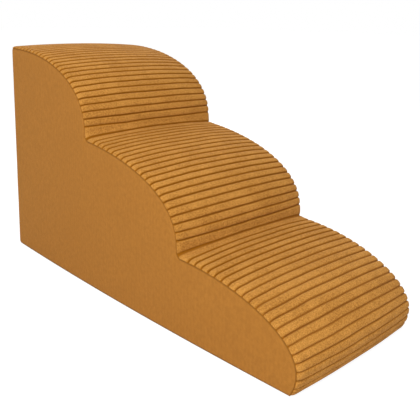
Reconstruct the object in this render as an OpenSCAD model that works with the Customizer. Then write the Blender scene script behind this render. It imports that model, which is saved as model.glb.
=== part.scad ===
// Three-tier foam stairs for a small pet, with a ribbed plush tread and a zipped cover.
// The cover and the foam are drawn from the back face forward: x runs along the
// stairs, y across them and z up, and the whole is then centred over its footprint.

/* [Wave outline, along the side seam] */
// Length of the upper tier, from the back to its riser
upper_depth = 304; // [280:1:330]
// Length of the middle tier, from riser to riser
middle_depth = 267; // [245:1:290]
// Length of the lower tier, from its riser to the toe
lower_depth = 248; // [225:1:270]
// Height from the first crease to the back top seam
upper_rise = 160; // [145:1:175]
// Height from the second crease to the first
middle_rise = 153; // [140:1:165]
// Height from the floor to the second crease
lower_rise = 137; // [125:1:150]
// Radius of the two creases, along the seam
crease_r = 11; // [9:0.5:14]
// Steady fall of the upper tread, before its nose turns down
upper_fall = 3; // [0:1:10]
// Steady fall of the middle tread
middle_fall = 28; // [15:1:35]
// Steady fall of the lower tread
lower_fall = 5; // [0:1:15]
// Height of the foremost line of the toe above the floor
toe_height = 36; // [28:1:44]
// Radius of the toe below that line, where it turns back under
toe_r = 64; // [55:1:80]

/* [Width] */
// Width over the two side seams, at the ends
stair_w = 305; // [270:5:340]
// How far each side bows out at half length
side_bow = 9; // [5:1:13]
// Radius of the upright back corners, seen from above
corner_r = 9; // [7:0.5:12]

/* [Tread panel] */
// Pitch of the plush wales, along the crown
wale_pitch = 15; // [14:0.5:20]
// Depth of the grooves between the wales
wale_depth = 2.6; // [1.5:0.1:3]
// Height of the tread's crown over the side seam
crown = 13; // [10:0.5:15]
// Height of the crown at the top edge of the back
back_crown = 8; // [6:0.5:10]
// Length to each side of a crease over which the crown is rounded
crease_ease = 28; // [20:1:30]
// Height of the crown at the floor end of the toe
toe_crown = 7.5; // [6:0.5:10]
// Distance over which the tread rolls down to the side seam
roll_w = 12; // [10:1:20]
// Thickness of the plush and its backing
plush_t = 4.5; // [4:0.1:5]

/* [Flat panels] */
// Thickness of the side panels
side_t = 2; // [1.5:0.1:3]
// Thickness of the back panels
back_t = 1.5; // [1.2:0.1:2]
// Thickness of the base panel
base_t = 1.5; // [1.2:0.1:2.5]
// Diameter of a grip dot
dot_d = 7; // [5:0.5:10]
// Height of a grip dot
dot_h = 1.5; // [1:0.1:2]
// Distance between neighbouring grip dots in a row
dot_pitch = 32; // [25:1:40]
// Bare margin from the rim of the base to the dots
dot_margin = 14; // [10:1:25]

/* [Foam] */
// Thickness of the soft topping foam under the treads
topping_t = 20; // [15:1:24]
// Slack between the foam and the cover
foam_gap = 0.5; // [0.4:0.05:0.6]

/* [Zip] */
// Height of the lower end of the chain above the floor
zip_low = 46; // [42:1:60]
// Distance from the upper end of the chain to the back top seam
zip_top_in = 24; // [20:1:60]
// Pitch of the coil turns on one side
coil_pitch = 2.6; // [2.4:0.1:3]
// Thickness of the coil, front to back
coil_t = 2.4; // [2:0.1:2.8]
// Width of the coil on one tape
coil_w = 4.2; // [3.8:0.1:4.6]
// How far the turns reach past the middle to lock
coil_reach = 0.8; // [0.6:0.1:1]
// Width of the woven strip that joins the turns
coil_spine_w = 1.6; // [1.2:0.1:2]
// Thickness of the tape
tape_t = 0.7; // [0.5:0.1:0.9]
// Width of one tape
tape_w = 16; // [14:1:20]
// Length of tape past each end of the chain
tape_tail = 12; // [10:1:16]
// Width of the opening between the back panels, over the chain
gap_w = 12; // [11.8:0.1:14]
// Length of the fabric tab that closes each end of the opening
end_tab_len = 7; // [5:0.5:9]
// Length of the metal stops
stop_len = 3.5; // [3:0.5:5]

/* [Slider and pull tab] */
// Length of the slider
slider_len = 12; // [11.5:0.1:14]
// Thickness of the slider's plates
slider_t = 1.1; // [1:0.1:1.3]
// Thickness of the slider's two side flanges
flange_t = 0.8; // [0.7:0.1:0.9]
// How far the slider's plates stand past its flanges
plate_lip = 0.2; // [0.1:0.05:0.3]
// Running clearance in the slider
slide_gap = 0.3; // [0.25:0.05:0.35]
// Width of the bail that holds the pull tab
bail_w = 2.2; // [1.8:0.1:2.6]
// Thickness of the bail
bail_t = 1; // [0.8:0.1:1.2]
// Length of the bail
bail_len = 8; // [7.5:0.1:8.4]
// Radius of the crossbar of the pull tab
pivot_r = 0.7; // [0.6:0.05:0.8]
// Play of the crossbar under the bail
pivot_gap = 0.25; // [0.2:0.01:0.3]
// Length of the pull tab, from its crossbar to its end
tab_len = 28; // [24:1:32]
// Width of the pull tab at its crossbar
tab_w = 7; // [6.4:0.1:8]
// Width of the pull tab near its end
tab_end_w = 8.4; // [8.2:0.1:10]

/* [Hidden] */

plush = [0.77, 0.55, 0.27];
side_cloth = [0.69, 0.47, 0.21];
zip_cloth = [0.62, 0.42, 0.19];
grip = [0.25, 0.19, 0.12];
cream_foam = [0.93, 0.90, 0.80];
white_foam = [0.97, 0.97, 0.94];
metal = [0.62, 0.52, 0.35];

right = 90;
half_turn = 180;
full_turn = 360;
// Overrun of every cut past the surface that it opens
over = 5;
// Slack at the seam between the back and the tread
seam_gap = 0.1;
// Faces of a round dot, and of the small round crossbar
dot_fn = 24;
bar_fn = 32;
// Steps along one tier, one crease and the toe of the master outline
tier_steps = 48;
crease_steps = 10;
toe_steps = 12;
// Steps of the bowed side, and of a rounded corner, seen from above
bow_steps = 20;
corner_steps = 5;
// Stations of the tread over its first half wale, round the back corners, and in a crease
corner_parts = 4;
crease_parts = 5;
// How square each nose is: 2 is a plain ellipse, more is squarer
upper_power = 2.3;
middle_power = 2.5;
lower_power = 2.05;
// Length over which the rounding of a crease fades out, and its samples to each side
crease_fade = 50;
ease_steps = 4;
// Length over which the crown rises from the top edge of the back
back_rise = 90;
// Share of the crown that is in the roll at the seam; the rest is a flat arch of this power
roll_share = 0.4;
arch_power = 2.4;
// Least height of the cover's underside over the seam line, inside the roll
lining_rise = 0.5;
// Places across the arch, as shares of the half width
arch_places = [0.25, 0.6];
// Length over which the section turns level at the toe, and its level last stretch
toe_turn = 55;
toe_level = 10;
// Half the stretch that a slope is measured on
slope_reach = 3;
// Place of the middle of the roll, as a share of its width
roll_mid_place = 0.35;
// Depth that a groove keeps at the middle of the roll
groove_mid_share = 0.8;

// The floor side of the cover and of the foam
base_z = dot_h;
foam_z = base_z + base_t;
stair_h = upper_rise + middle_rise + lower_rise;
// Length of the closed chain
zip_len = stair_h - zip_low - zip_top_in;
riser_1 = upper_depth;
riser_2 = riser_1 + middle_depth;
toe_x = riser_2 + lower_depth;

// One tier: a superellipse that leaves the tread level, plus a steady fall
function tier_points(start, run, drop, fall, power) = [
    for (i = [0:tier_steps])
        let (
            turn = right * i / tier_steps,
            along = pow(sin(turn), 2 / power),
            down = 1 - pow(cos(turn), 2 / power)
        )
        [start[0] + run * along, start[1] - fall * along - (drop - fall) * down]
];

// One crease: an arc that turns from the riser to the next tread
function crease_points(riser, low, slope) = [
    for (i = [1:crease_steps])
        let (turn = half_turn + (right - slope) * i / crease_steps)
        [riser + crease_r * (1 + cos(turn)), low + crease_r * (1 + sin(turn))]
];

function last(list) = list[len(list) - 1];

crease_1_z = stair_h - upper_rise;
crease_2_z = crease_1_z - middle_rise;
middle_slope = atan(middle_fall / middle_depth);
lower_slope = atan(lower_fall / lower_depth);
upper_tier = tier_points([0, stair_h], riser_1, upper_rise - crease_r, upper_fall, upper_power);
crease_1 = crease_points(riser_1, crease_1_z, middle_slope);
middle_start = last(crease_1);
middle_tier = tier_points(
    middle_start, riser_2 - middle_start[0], middle_start[1] - crease_2_z - crease_r,
    middle_fall, middle_power
);
crease_2 = crease_points(riser_2, crease_2_z, lower_slope);
lower_start = last(crease_2);
lower_tier = tier_points(
    lower_start, toe_x - lower_start[0], lower_start[1] - toe_height, lower_fall, lower_power
);
toe_angle = asin((toe_height - base_z) / toe_r);
toe = [
    for (i = [1:toe_steps])
        let (turn = toe_angle * i / toe_steps)
        [toe_x - toe_r * (1 - cos(turn)), toe_height - toe_r * sin(turn)]
];
function rest_of(list) = [for (i = [1:len(list) - 1]) list[i]];
seam = concat(upper_tier, crease_1, rest_of(middle_tier), crease_2, rest_of(lower_tier), toe);

// Running length along a list of points
function running(points) = [
    for (i = 0, total = 0; i < len(points);
         i = i + 1,
         total = total + (i < len(points) ? norm(points[i] - points[i - 1]) : 0))
        total
];
function pairs(keys, values, axis) = [for (i = [0:len(keys) - 1]) [keys[i], values[i][axis]]];

seam_run = running(seam);
seam_len = last(seam_run);
seam_x = pairs(seam_run, seam, 0);
seam_z = pairs(seam_run, seam, 1);
function seam_at(s) = [lookup(s, seam_x), lookup(s, seam_z)];
function unit(v) = v / norm(v);
function smooth(share) = let (t = max(0, min(1, share))) t * t * (3 - 2 * t);
function mix(a, b, share) = a + (b - a) * share;

// Direction square to the seam at s, turned level at the toe so that it ends on the floor
function seam_normal(s) =
    let (
        along = unit(seam_at(min(seam_len, s + slope_reach)) - seam_at(max(0, s - slope_reach))),
        level = smooth((s - seam_len + toe_turn) / (toe_turn - toe_level)),
        upright = s < slope_reach ? [0, 1] : [-along[1], along[0]]
    )
    unit(mix(upright, [1, 0], level));
function full_crown(s) =
    mix(crown, toe_crown, smooth((s - seam_len + toe_turn) / toe_turn))
    - (crown - back_crown) * (1 - smooth(s / back_rise));
function proud_of_seam(s) = seam_at(s) + seam_normal(s) * full_crown(s);

// The crown over s: in a crease it is the mean of its neighbours, so that the plush rounds it
crease_1_s = lookup(riser_1 + crease_r / 2, [for (i = [0:len(seam) - 1]) [seam[i][0], seam_run[i]]]);
crease_2_s = lookup(riser_2 + crease_r / 2, [for (i = [0:len(seam) - 1]) [seam[i][0], seam_run[i]]]);
function nearness(s, middle) = exp(-pow((s - middle) / crease_fade, 2));
function total(list) = list * [for (item = list) 1];
function crown_point(s) =
    let (
        reach = crease_ease * (nearness(s, crease_1_s) + nearness(s, crease_2_s)),
        near = [for (i = [-ease_steps:ease_steps]) proud_of_seam(s + reach * i / ease_steps)]
    )
    [total([for (p = near) p[0]]), total([for (p = near) p[1]])] / len(near);

// The crown line, the wales counted along it, and the way from the seam out to it
crown_line = [for (s = seam_run) crown_point(s)];
crown_way = crown_line - seam;
way_x = pairs(seam_run, crown_way, 0);
way_z = pairs(seam_run, crown_way, 1);
function way_out(s) = [lookup(s, way_x), lookup(s, way_z)];
function outward(s) = unit(way_out(s));
function crown_at(s) = norm(way_out(s));
crown_run = running(crown_line);
crown_len = last(crown_run);
seam_of_crown = [for (i = [0:len(seam_run) - 1]) [crown_run[i], seam_run[i]]];
wale_count = round(crown_len / wale_pitch);
wale_step = crown_len / wale_count;

// Stations along the crown: one in each groove and on each wale, and more in a crease
function in_crease(s) = min(abs(s - crease_1_s), abs(s - crease_2_s)) < crease_ease;
stations = concat(
    [
        for (i = [0:2 * wale_count - 1])
            let (
                s = lookup(i * wale_step / 2, seam_of_crown),
                parts = i == 0 ? corner_parts : in_crease(s) ? crease_parts : 1
            )
            for (j = [0:parts - 1]) (i + j / parts) * wale_step / 2
    ],
    [crown_len]
);
station_s = [for (a = stations) lookup(a, seam_of_crown)];
function groove_at(a) = wale_depth * (1 + cos(full_turn * a / wale_step)) / 2;

// Half width of the cover at x: bowed along its length, rounded at the back corners
bow_r = (toe_x * toe_x / 4 + side_bow * side_bow) / (2 * side_bow);
function bowed(x) = stair_w / 2 + side_bow - bow_r + sqrt(bow_r * bow_r - pow(x - toe_x / 2, 2));
corner_y = bowed(corner_r) - corner_r;
function half_width(x) =
    x >= corner_r ? bowed(x) : corner_y + sqrt(max(0, corner_r * corner_r - pow(corner_r - x, 2)));

// Share of the crown at a distance in from the side
function roll_at(in) = sqrt(1 - pow(1 - min(1, in / roll_w), 2));
function arch_at(in) = 1 - pow(max(0, 1 - in * 2 / stair_w), arch_power);
function crown_share(in) = mix(arch_at(in), roll_at(in), roll_share);
places = [roll_w, for (place = arch_places) place * stair_w / 2];
function cover_out(s, in) = crown_at(s) * crown_share(in);

// A point of the section at s: how far out of the seam line, and how far in from the side
function section_point(s, out, in, side) =
    let (p = seam_at(s) + outward(s) * out)
    [p[0], side * (half_width(p[0]) - in), p[1]];

// Skin a row of rings of equal length with triangles, and close both ends
module skin(rings) {
    size = len(rings[0]);
    count = len(rings);
    polyhedron(
        points = [for (ring = rings) for (p = ring) p],
        faces = concat(
            [[for (i = [size - 1:-1:0]) i]],
            [
                for (r = [0:count - 2])
                    for (i = [0:size - 1])
                        let (
                            a = r * size + i,
                            b = r * size + (i + 1) % size
                        )
                        each [[a, b, a + size], [b, b + size, a + size]]
            ],
            [[for (i = [0:size - 1]) (count - 1) * size + i]]
        )
    );
}

// Prisms along y and along x, from an outline drawn in the other two axes
module prism_y(outline, from, to) {
    translate([0, to, 0])
        rotate([right, 0, 0])
            linear_extrude(to - from)
                polygon(outline);
}

module prism_x(outline, from, to) {
    translate([from, 0, 0])
        rotate([right, 0, right])
            linear_extrude(to - from)
                polygon(outline);
}

// Everything is drawn from the back face and then centred over its footprint
front_x = max([
    for (i = [0:len(stations) - 1])
        section_point(station_s[i], cover_out(station_s[i], last(places)) - groove_at(stations[i]), 0, 1)[0]
]);
slider_front_x = back_t - coil_t - slide_gap - slider_t;
bail_h = 2 * (pivot_r + pivot_gap) + bail_t;
zip_proud = bail_h - slider_front_x;
middle_x = (front_x - zip_proud) / 2;

module centred() {
    translate([-middle_x, 0, 0]) children();
}

/* Foam */
foam_x = back_t + tape_t + foam_gap;
foam_stations = concat([foam_x], [for (s = station_s) if (s > foam_x * 2 && seam_at(s)[1] > foam_z) s]);
foam_last = lookup(-foam_z, [for (i = [len(seam) - toe_steps:len(seam) - 1]) [-seam[i][1], seam_run[i]]]);
foam_s = concat(foam_stations, [foam_last]);
foam_in = side_t + foam_gap;
// Height of the cover's underside over the seam line
function lining_out(s, in) =
    max(lining_rise, cover_out(s, max(in, roll_w)) - plush_t) * min(1, in / roll_w);

function topping_half(s, side) = concat(
    [section_point(s, -topping_t, foam_in, side)],
    [for (in = concat([foam_in], places)) section_point(s, lining_out(s, in) - foam_gap, in, side)]
);
function topping_ring(s) = concat(topping_half(s, -1), reversed(topping_half(s, 1)));

module comfort_foam() {
    color(white_foam)
        centred()
            skin([for (s = foam_s) topping_ring(s)]);
}

// Side of the cover from above, at a distance in from its face, from a back corner to the front
function corner_arc(in, from, to) = [
    for (i = [0:corner_steps])
        let (turn = mix(from, to, i / corner_steps))
        [corner_r + (corner_r - in) * cos(turn), -corner_y + (corner_r - in) * sin(turn)]
];
end_x = front_x + over;
function side_line(in) = [
    for (i = [1:bow_steps])
        let (x = mix(corner_r, end_x, i / bow_steps))
        [x, in - bowed(x)]
];
corner_mid = half_turn + right / 2;
corner_side = half_turn + right;
function mirrored(points) = [for (i = [len(points) - 1:-1:0]) [points[i][0], -points[i][1]]];
function reversed(points) = [for (i = [len(points) - 1:-1:0]) points[i]];
// Whole plan of the cover at a distance in from its side
function plan(in) =
    let (half = concat(corner_arc(in, half_turn, corner_side), side_line(in)))
    concat(half, mirrored(half));

foam_top = [
    for (s = foam_s)
        let (p = seam_at(s) - outward(s) * topping_t)
        [max(p[0], foam_x), max(p[1], foam_z)]
];
relief_x = back_t + tape_t + slide_gap + slider_t + slide_gap;
slider_w = 2 * (coil_w + slide_gap + flange_t + plate_lip);

module support_foam() {
    outline = concat([[foam_x, foam_z]], foam_top);
    color(cream_foam)
        centred()
            difference() {
                intersection() {
                    prism_y(outline, -stair_w, stair_w);
                    translate([0, 0, foam_z])
                        linear_extrude(stair_h)
                            polygon(plan(foam_in));
                }
                // Hollow that the back plate of the slider presses into the foam
                translate([foam_x - over, -gap_w / 2, zip_low - over])
                    cube([relief_x - foam_x + over, gap_w, zip_len + over * 2]);
            }
}

/* Cover */
// Ring of the tread panel: over the wales from side to side, then back underneath
function tread_half(s, groove, side) =
    let (mid = roll_mid_place * roll_w)
    concat(
        [
            section_point(s, 0, 0, side),
            section_point(s, cover_out(s, mid) - groove * groove_mid_share, mid, side)
        ],
        [for (in = places) section_point(s, cover_out(s, in) - groove, in, side)]
    );
function lining_half(s, side) = [for (in = places) section_point(s, lining_out(s, in), in, side)];
function tread_ring(a, s) = concat(
    tread_half(s, groove_at(a), -1), reversed(tread_half(s, groove_at(a), 1)),
    lining_half(s, 1), reversed(lining_half(s, -1))
);

module tread_panel() {
    color(plush)
        centred()
            skin([for (i = [0:len(stations) - 1]) tread_ring(stations[i], station_s[i])]);
}

// Side panel on the side of negative y, and its mirror image
module side_panel() {
    outline = concat([for (s = station_s) seam_at(s)], [[0, base_z]]);
    band = concat(
        corner_arc(0, corner_mid, corner_side), side_line(0),
        reversed(side_line(side_t)), reversed(corner_arc(side_t, corner_mid, corner_side))
    );
    color(side_cloth)
        centred()
            intersection() {
                prism_y(outline, -stair_w, 0);
                linear_extrude(stair_h + over)
                    polygon(band);
            }
}

module side_panel_left() {
    side_panel();
}

module side_panel_right() {
    mirror([0, 1, 0])
        side_panel();
}

// Half of the back, with its rounded corner and half of the opening for the zip
opening_low = zip_low - stop_len - slide_gap - end_tab_len;
opening_high = zip_low + zip_len + stop_len + slide_gap + end_tab_len;
function back_top(in) = stair_h + lining_out(0, in) - seam_gap;

module back_panel() {
    rim = half_width(0);
    outline = [
        [0, base_z], [-stair_w, base_z], [-stair_w, back_top(0)], [-rim, back_top(0)],
        for (in = places) [in - rim, back_top(in)],
        [0, back_top(last(places))]
    ];
    band = concat(
        corner_arc(0, half_turn, corner_mid), reversed(corner_arc(back_t, half_turn, corner_mid)),
        [[back_t, 0], [0, 0]]
    );
    color(side_cloth)
        centred()
            difference() {
                intersection() {
                    prism_x(outline, 0, corner_r);
                    linear_extrude(stair_h + over)
                        polygon(band);
                }
                translate([-over, -gap_w / 2, opening_low])
                    cube([back_t + over * 2, gap_w, opening_high - opening_low]);
            }
}

module back_panel_left() {
    back_panel();
}

module back_panel_right() {
    mirror([0, 1, 0])
        back_panel();
}

// Base between the other panels, its front edge shaped to the underside of the toe
base_end = last(seam)[0];
module base_panel() {
    front = [
        [0, -stair_w], [base_end, -stair_w], [base_end, side_t - half_width(base_end)],
        for (in = places) [base_end + lining_out(seam_len, in), in - half_width(base_end)]
    ];
    color(grip)
        centred()
            translate([0, 0, base_z])
                linear_extrude(base_t)
                    intersection() {
                        polygon(plan(side_t));
                        polygon(concat(front, mirrored(front)));
                    }
}

// Staggered dots, with one under the middle of the whole
module grip_dots() {
    row_step = dot_pitch * sin(right * 2 / 3);
    inside_w = stair_w / 2 - dot_margin;
    rows = floor(inside_w / row_step);
    reach = ceil(toe_x / dot_pitch);
    color(grip)
        centred()
            for (row = [-rows:rows])
                for (i = [-reach:reach])
                    let (x = middle_x + (i + abs(row % 2) / 2) * dot_pitch)
                    if (x > dot_margin && x < base_end - dot_margin)
                        translate([x, row * row_step, 0])
                            cylinder(d = dot_d, h = dot_h, $fn = dot_fn);
}

/* Zip */
zip_high = zip_low + zip_len;
turn_t = coil_pitch / 2 - slide_gap;
// One coil as a comb: a spine on the tape with turns that lock past the middle
function coil_comb(first) =
    let (turns = floor((zip_len - first) / coil_pitch))
    concat(
        [[-coil_w, zip_low], [coil_spine_w - coil_w, zip_low]],
        [
            for (i = [0:turns - 1])
                let (z = zip_low + first + i * coil_pitch)
                each [
                    [coil_spine_w - coil_w, z],
                    [coil_reach - turn_t / 3, z],
                    [coil_reach, z + turn_t / 3],
                    [coil_reach, z + turn_t * 2 / 3],
                    [coil_reach - turn_t / 3, z + turn_t],
                    [coil_spine_w - coil_w, z + turn_t]
                ]
        ],
        [[coil_spine_w - coil_w, zip_high], [-coil_w, zip_high]]
    );

module zip_coil(first) {
    color(zip_cloth)
        centred()
            prism_x(coil_comb(first), back_t - coil_t, back_t);
}

module zip_coil_left() {
    zip_coil(slide_gap);
}

module zip_coil_right() {
    mirror([0, 1, 0])
        zip_coil(slide_gap + coil_pitch / 2);
}

module zip_tape() {
    color(zip_cloth)
        centred()
            translate([back_t, -slide_gap - tape_w, zip_low - tape_tail])
                cube([tape_t, tape_w, zip_len + tape_tail * 2]);
}

module zip_tape_left() {
    zip_tape();
}

module zip_tape_right() {
    mirror([0, 1, 0])
        zip_tape();
}

// Pair of stops where the closed zip parks, and the single stop at the far end
module zip_lower_stops() {
    stop_w = coil_w - slide_gap;
    color(metal)
        centred()
            for (side = [-1, 1])
                translate([
                    back_t - coil_t, (side * (coil_w + slide_gap) - stop_w) / 2, zip_low - stop_len
                ])
                    cube([coil_t, stop_w, stop_len]);
}

module zip_upper_stop() {
    color(metal)
        centred()
            translate([back_t - coil_t, -coil_w, zip_high])
                cube([coil_t, coil_w * 2, stop_len]);
}

module zip_end_tab(low) {
    color(side_cloth)
        centred()
            translate([0, -gap_w / 2, low])
                cube([back_t, gap_w, end_tab_len]);
}

module zip_end_tab_lower() {
    zip_end_tab(opening_low);
}

module zip_end_tab_upper() {
    zip_end_tab(opening_high - end_tab_len);
}

/* Slider, parked at the lower end */
slider_z = zip_low + slide_gap;
slider_outline =
    let (half = slider_w / 2, cut = flange_t)
    [
        [cut - half, slider_z], [half - cut, slider_z], [half, slider_z + cut],
        [half, slider_z + slider_len - cut * 2], [half - cut * 2, slider_z + slider_len],
        [cut * 2 - half, slider_z + slider_len], [-half, slider_z + slider_len - cut * 2],
        [-half, slider_z + cut]
    ];
bail_low = slider_z + (slider_len - bail_len) / 2;
bail_high = bail_low + bail_len;
pivot_x = slider_front_x - pivot_gap - pivot_r;
pivot_z = bail_low + bail_t + pivot_gap + pivot_r;

module zip_slider_front() {
    inner_x = slider_front_x + slider_t;
    flange_y = coil_w + slide_gap + flange_t / 2;
    // The flanges and the bail are rooted in the middle of the plate
    seat_x = slider_front_x + slider_t / 2;
    bail_x = slider_front_x - bail_h;
    color(metal)
        centred()
            union() {
                prism_x(slider_outline, slider_front_x, inner_x);
                for (side = [-1, 1])
                    translate([seat_x, side * flange_y - flange_t / 2, slider_z + flange_t * 2])
                        cube([inner_x + coil_t - seat_x, flange_t, slider_len - flange_t * 5]);
                prism_y(
                    [
                        [seat_x, bail_low], [seat_x, bail_low + bail_t],
                        [bail_x + bail_t, bail_low + bail_t], [bail_x + bail_t, bail_high - bail_t],
                        [seat_x, bail_high - bail_t], [seat_x, bail_high],
                        [bail_x + bail_t / 2, bail_high], [bail_x, bail_high - bail_t / 2],
                        [bail_x, bail_low + bail_t / 2], [bail_x + bail_t / 2, bail_low]
                    ],
                    -bail_w / 2, bail_w / 2
                );
            }
}

module zip_slider_back() {
    plate_x = back_t + tape_t + slide_gap;
    color(metal)
        centred()
            prism_x(slider_outline, plate_x, plate_x + slider_t);
}

// Pull tab: a crossbar under the bail, two arms beside it and a rounded plate
module zip_pull_tab() {
    window_w = bail_w + pivot_gap * 4;
    window_len = bail_high - pivot_z + bail_t;
    end_r = tab_end_w / 2;
    outline = concat(
        [[-tab_w / 2, 0], [-tab_w / 2, -window_len]],
        [
            for (i = [0:corner_steps * 2])
                let (turn = half_turn + half_turn * i / (corner_steps * 2))
                [end_r * cos(turn), end_r * (1 + sin(turn)) - tab_len]
        ],
        [[tab_w / 2, -window_len], [tab_w / 2, 0]]
    );
    color(metal)
        centred()
            translate([pivot_x, 0, pivot_z])
                union() {
                    difference() {
                        prism_x(outline, -pivot_r, pivot_r);
                        translate([-over, -window_w / 2, -window_len])
                            cube([over * 2, window_w, window_len + over]);
                    }
                    translate([0, -tab_w / 2, 0])
                        rotate([-right, 0, 0])
                            cylinder(r = pivot_r, h = tab_w, $fn = bar_fn);
                }
}

support_foam();
comfort_foam();
tread_panel();
side_panel_left();
side_panel_right();
back_panel_left();
back_panel_right();
base_panel();
grip_dots();
zip_tape_left();
zip_tape_right();
zip_coil_left();
zip_coil_right();
zip_lower_stops();
zip_upper_stop();
zip_end_tab_lower();
zip_end_tab_upper();
zip_slider_front();
zip_slider_back();
zip_pull_tab();
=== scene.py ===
# %% [markdown]
# # Foam pet stairs under a ribbed plush cover
# The real stairs are a wave-shaped block of foam in a sewn cover. A thick plush with broad
# wales runs over the three treads, plain cloth closes both sides and the back, and the base
# is a cloth with rubber dots. A zip in the back lets the cover come off for washing.
# Each piece is dressed here in the frame of the solid model: the cover first, then the foam
# inside it, and the zip last.

import math

import bpy
import numpy as np
from mathutils import Matrix, Vector


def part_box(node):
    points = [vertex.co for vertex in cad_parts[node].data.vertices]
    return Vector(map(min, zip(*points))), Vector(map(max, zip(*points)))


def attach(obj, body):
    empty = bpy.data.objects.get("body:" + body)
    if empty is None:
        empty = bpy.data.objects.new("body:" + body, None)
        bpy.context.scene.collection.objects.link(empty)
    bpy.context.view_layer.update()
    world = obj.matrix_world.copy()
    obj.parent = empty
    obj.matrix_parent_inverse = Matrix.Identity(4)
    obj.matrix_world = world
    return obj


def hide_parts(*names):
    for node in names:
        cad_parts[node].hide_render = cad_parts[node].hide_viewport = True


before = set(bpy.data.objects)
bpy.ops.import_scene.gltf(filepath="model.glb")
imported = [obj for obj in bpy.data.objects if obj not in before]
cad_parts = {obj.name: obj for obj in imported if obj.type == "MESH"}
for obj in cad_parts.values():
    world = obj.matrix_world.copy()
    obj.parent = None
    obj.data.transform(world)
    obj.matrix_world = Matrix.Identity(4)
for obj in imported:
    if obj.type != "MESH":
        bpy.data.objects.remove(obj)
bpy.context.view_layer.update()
mm = 0.001

# %% [markdown]
# The camera comes first, because it decides how fine each surface has to be. The picture
# shows the stairs from the low front corner, a little from above, with the upright edges
# almost parallel, so the lens is shifted slightly instead of tilting the camera further, and
# the camera is rolled by one degree.

# %% Camera
picture_px, focal_px, sensor_w = 420, 617.94, 36
camera_place, camera_shift = (0.8832, -0.7805, 0.5222), -0.18
camera_azimuth, camera_elevation, camera_roll = 46.3, 10.66, 1.0
camera_data = bpy.data.cameras.new("camera")
camera_data.sensor_width = sensor_w
camera_data.lens = focal_px / picture_px * sensor_w
camera_data.shift_y = camera_shift
camera = bpy.data.objects.new("camera", camera_data)
camera.location = camera_place
aim = Matrix.Rotation(math.radians(camera_azimuth), 3, "Z")
aim = aim @ Matrix.Rotation(math.radians(90 - camera_elevation), 3, "X")
aim = aim @ Matrix.Rotation(math.radians(camera_roll), 3, "Z")
camera.rotation_euler = aim.to_euler()
bpy.context.scene.collection.objects.link(camera)
bpy.context.scene.camera = camera
print("lens", round(camera_data.lens, 2), "mm")

# %% [markdown]
# A few small helpers keep the later cells short. Every new piece starts as a primitive. The
# solid model's parts come in selected, so everything is deselected before a piece is added.
# Edit mode then opens with only those edges or faces selected that the next step works on.

# %% Helpers for selecting


def start_fresh():
    if bpy.context.object and bpy.context.object.mode != "OBJECT":
        bpy.ops.object.mode_set(mode="OBJECT")
    bpy.ops.object.select_all(action="DESELECT")


def work_on(piece):
    start_fresh()
    piece.select_set(True)
    bpy.context.view_layer.objects.active = piece


def edit_selected(piece, chosen, mode):
    """Open edit mode with just these edges or faces selected."""
    work_on(piece)
    mesh = piece.data
    for domain in (mesh.vertices, mesh.edges, mesh.polygons):
        domain.foreach_set("select", np.zeros(len(domain), dtype=bool))
    domain = {"EDGE": mesh.edges, "FACE": mesh.polygons}[mode]
    domain.foreach_set("select", np.asarray(chosen, dtype=bool))
    bpy.ops.object.mode_set(mode="EDIT")
    bpy.ops.mesh.select_mode(type=mode)


def leave_edit():
    bpy.ops.object.mode_set(mode="OBJECT")


# %% [markdown]
# Edges and faces are chosen by their place, so a piece's points, face centres and edge ends
# are read into arrays. Arrays also make it quick to move all points of a cloth at once.

# %% Helpers for points


def points_of(piece):
    co = np.empty(len(piece.data.vertices) * 3)
    piece.data.vertices.foreach_get("co", co)
    return co.reshape(-1, 3)


def move_points(piece, co):
    piece.data.vertices.foreach_set("co", np.asarray(co, dtype=float).ravel())
    piece.data.update()


def face_centres(piece):
    centres = np.empty(len(piece.data.polygons) * 3)
    piece.data.polygons.foreach_get("center", centres)
    return centres.reshape(-1, 3)


def edge_ends(piece):
    ends = np.empty(len(piece.data.edges) * 2, dtype=int)
    piece.data.edges.foreach_get("vertices", ends)
    return points_of(piece)[ends.reshape(-1, 2)]


def xyz(x, y, z):
    """One array of points from three arrays that fit each other."""
    return np.stack(np.broadcast_arrays(x, y, z), axis=-1)


# %% [markdown]
# Cloth starts as a flat grid, whose points are then laid where the cloth lies. A number on
# every point says which place of the grid it has, also after later steps have added points.

# %% Helpers for a grid


def flat_cloth(name, rows, columns):
    """A grid, and the index of its points row by row."""
    start_fresh()
    bpy.ops.mesh.primitive_grid_add(x_subdivisions=columns - 1, y_subdivisions=rows - 1, size=1)
    piece = bpy.context.object
    piece.name = piece.data.name = name
    co = np.round(points_of(piece), 6)
    return piece, np.lexsort((co[:, 0], co[:, 1]))


def number_points(piece, name, order):
    place = np.empty(len(order), dtype=int)
    place[order] = np.arange(len(order))
    piece.data.attributes.new(name, "INT", "POINT").data.foreach_set("value", place)


def numbers_of(piece, name):
    place = np.empty(len(piece.data.vertices), dtype=int)
    piece.data.attributes[name].data.foreach_get("value", place)
    return place


def turn_faces_out(piece):
    edit_selected(piece, np.ones(len(piece.data.polygons)), "FACE")
    bpy.ops.mesh.normals_make_consistent(inside=False)
    leave_edit()


def lay_points(piece, order, outer):
    co = points_of(piece)
    co[order] = outer.reshape(-1, 3)
    move_points(piece, co)


# %% [markdown]
# One extrude gives the cloth a lining side, so that each panel is a closed shell with a real
# thickness. Where a cloth has an opening, the faces there are deleted first, so that the
# extrude closes its edge too.

# %% Helpers for cloth


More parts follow.
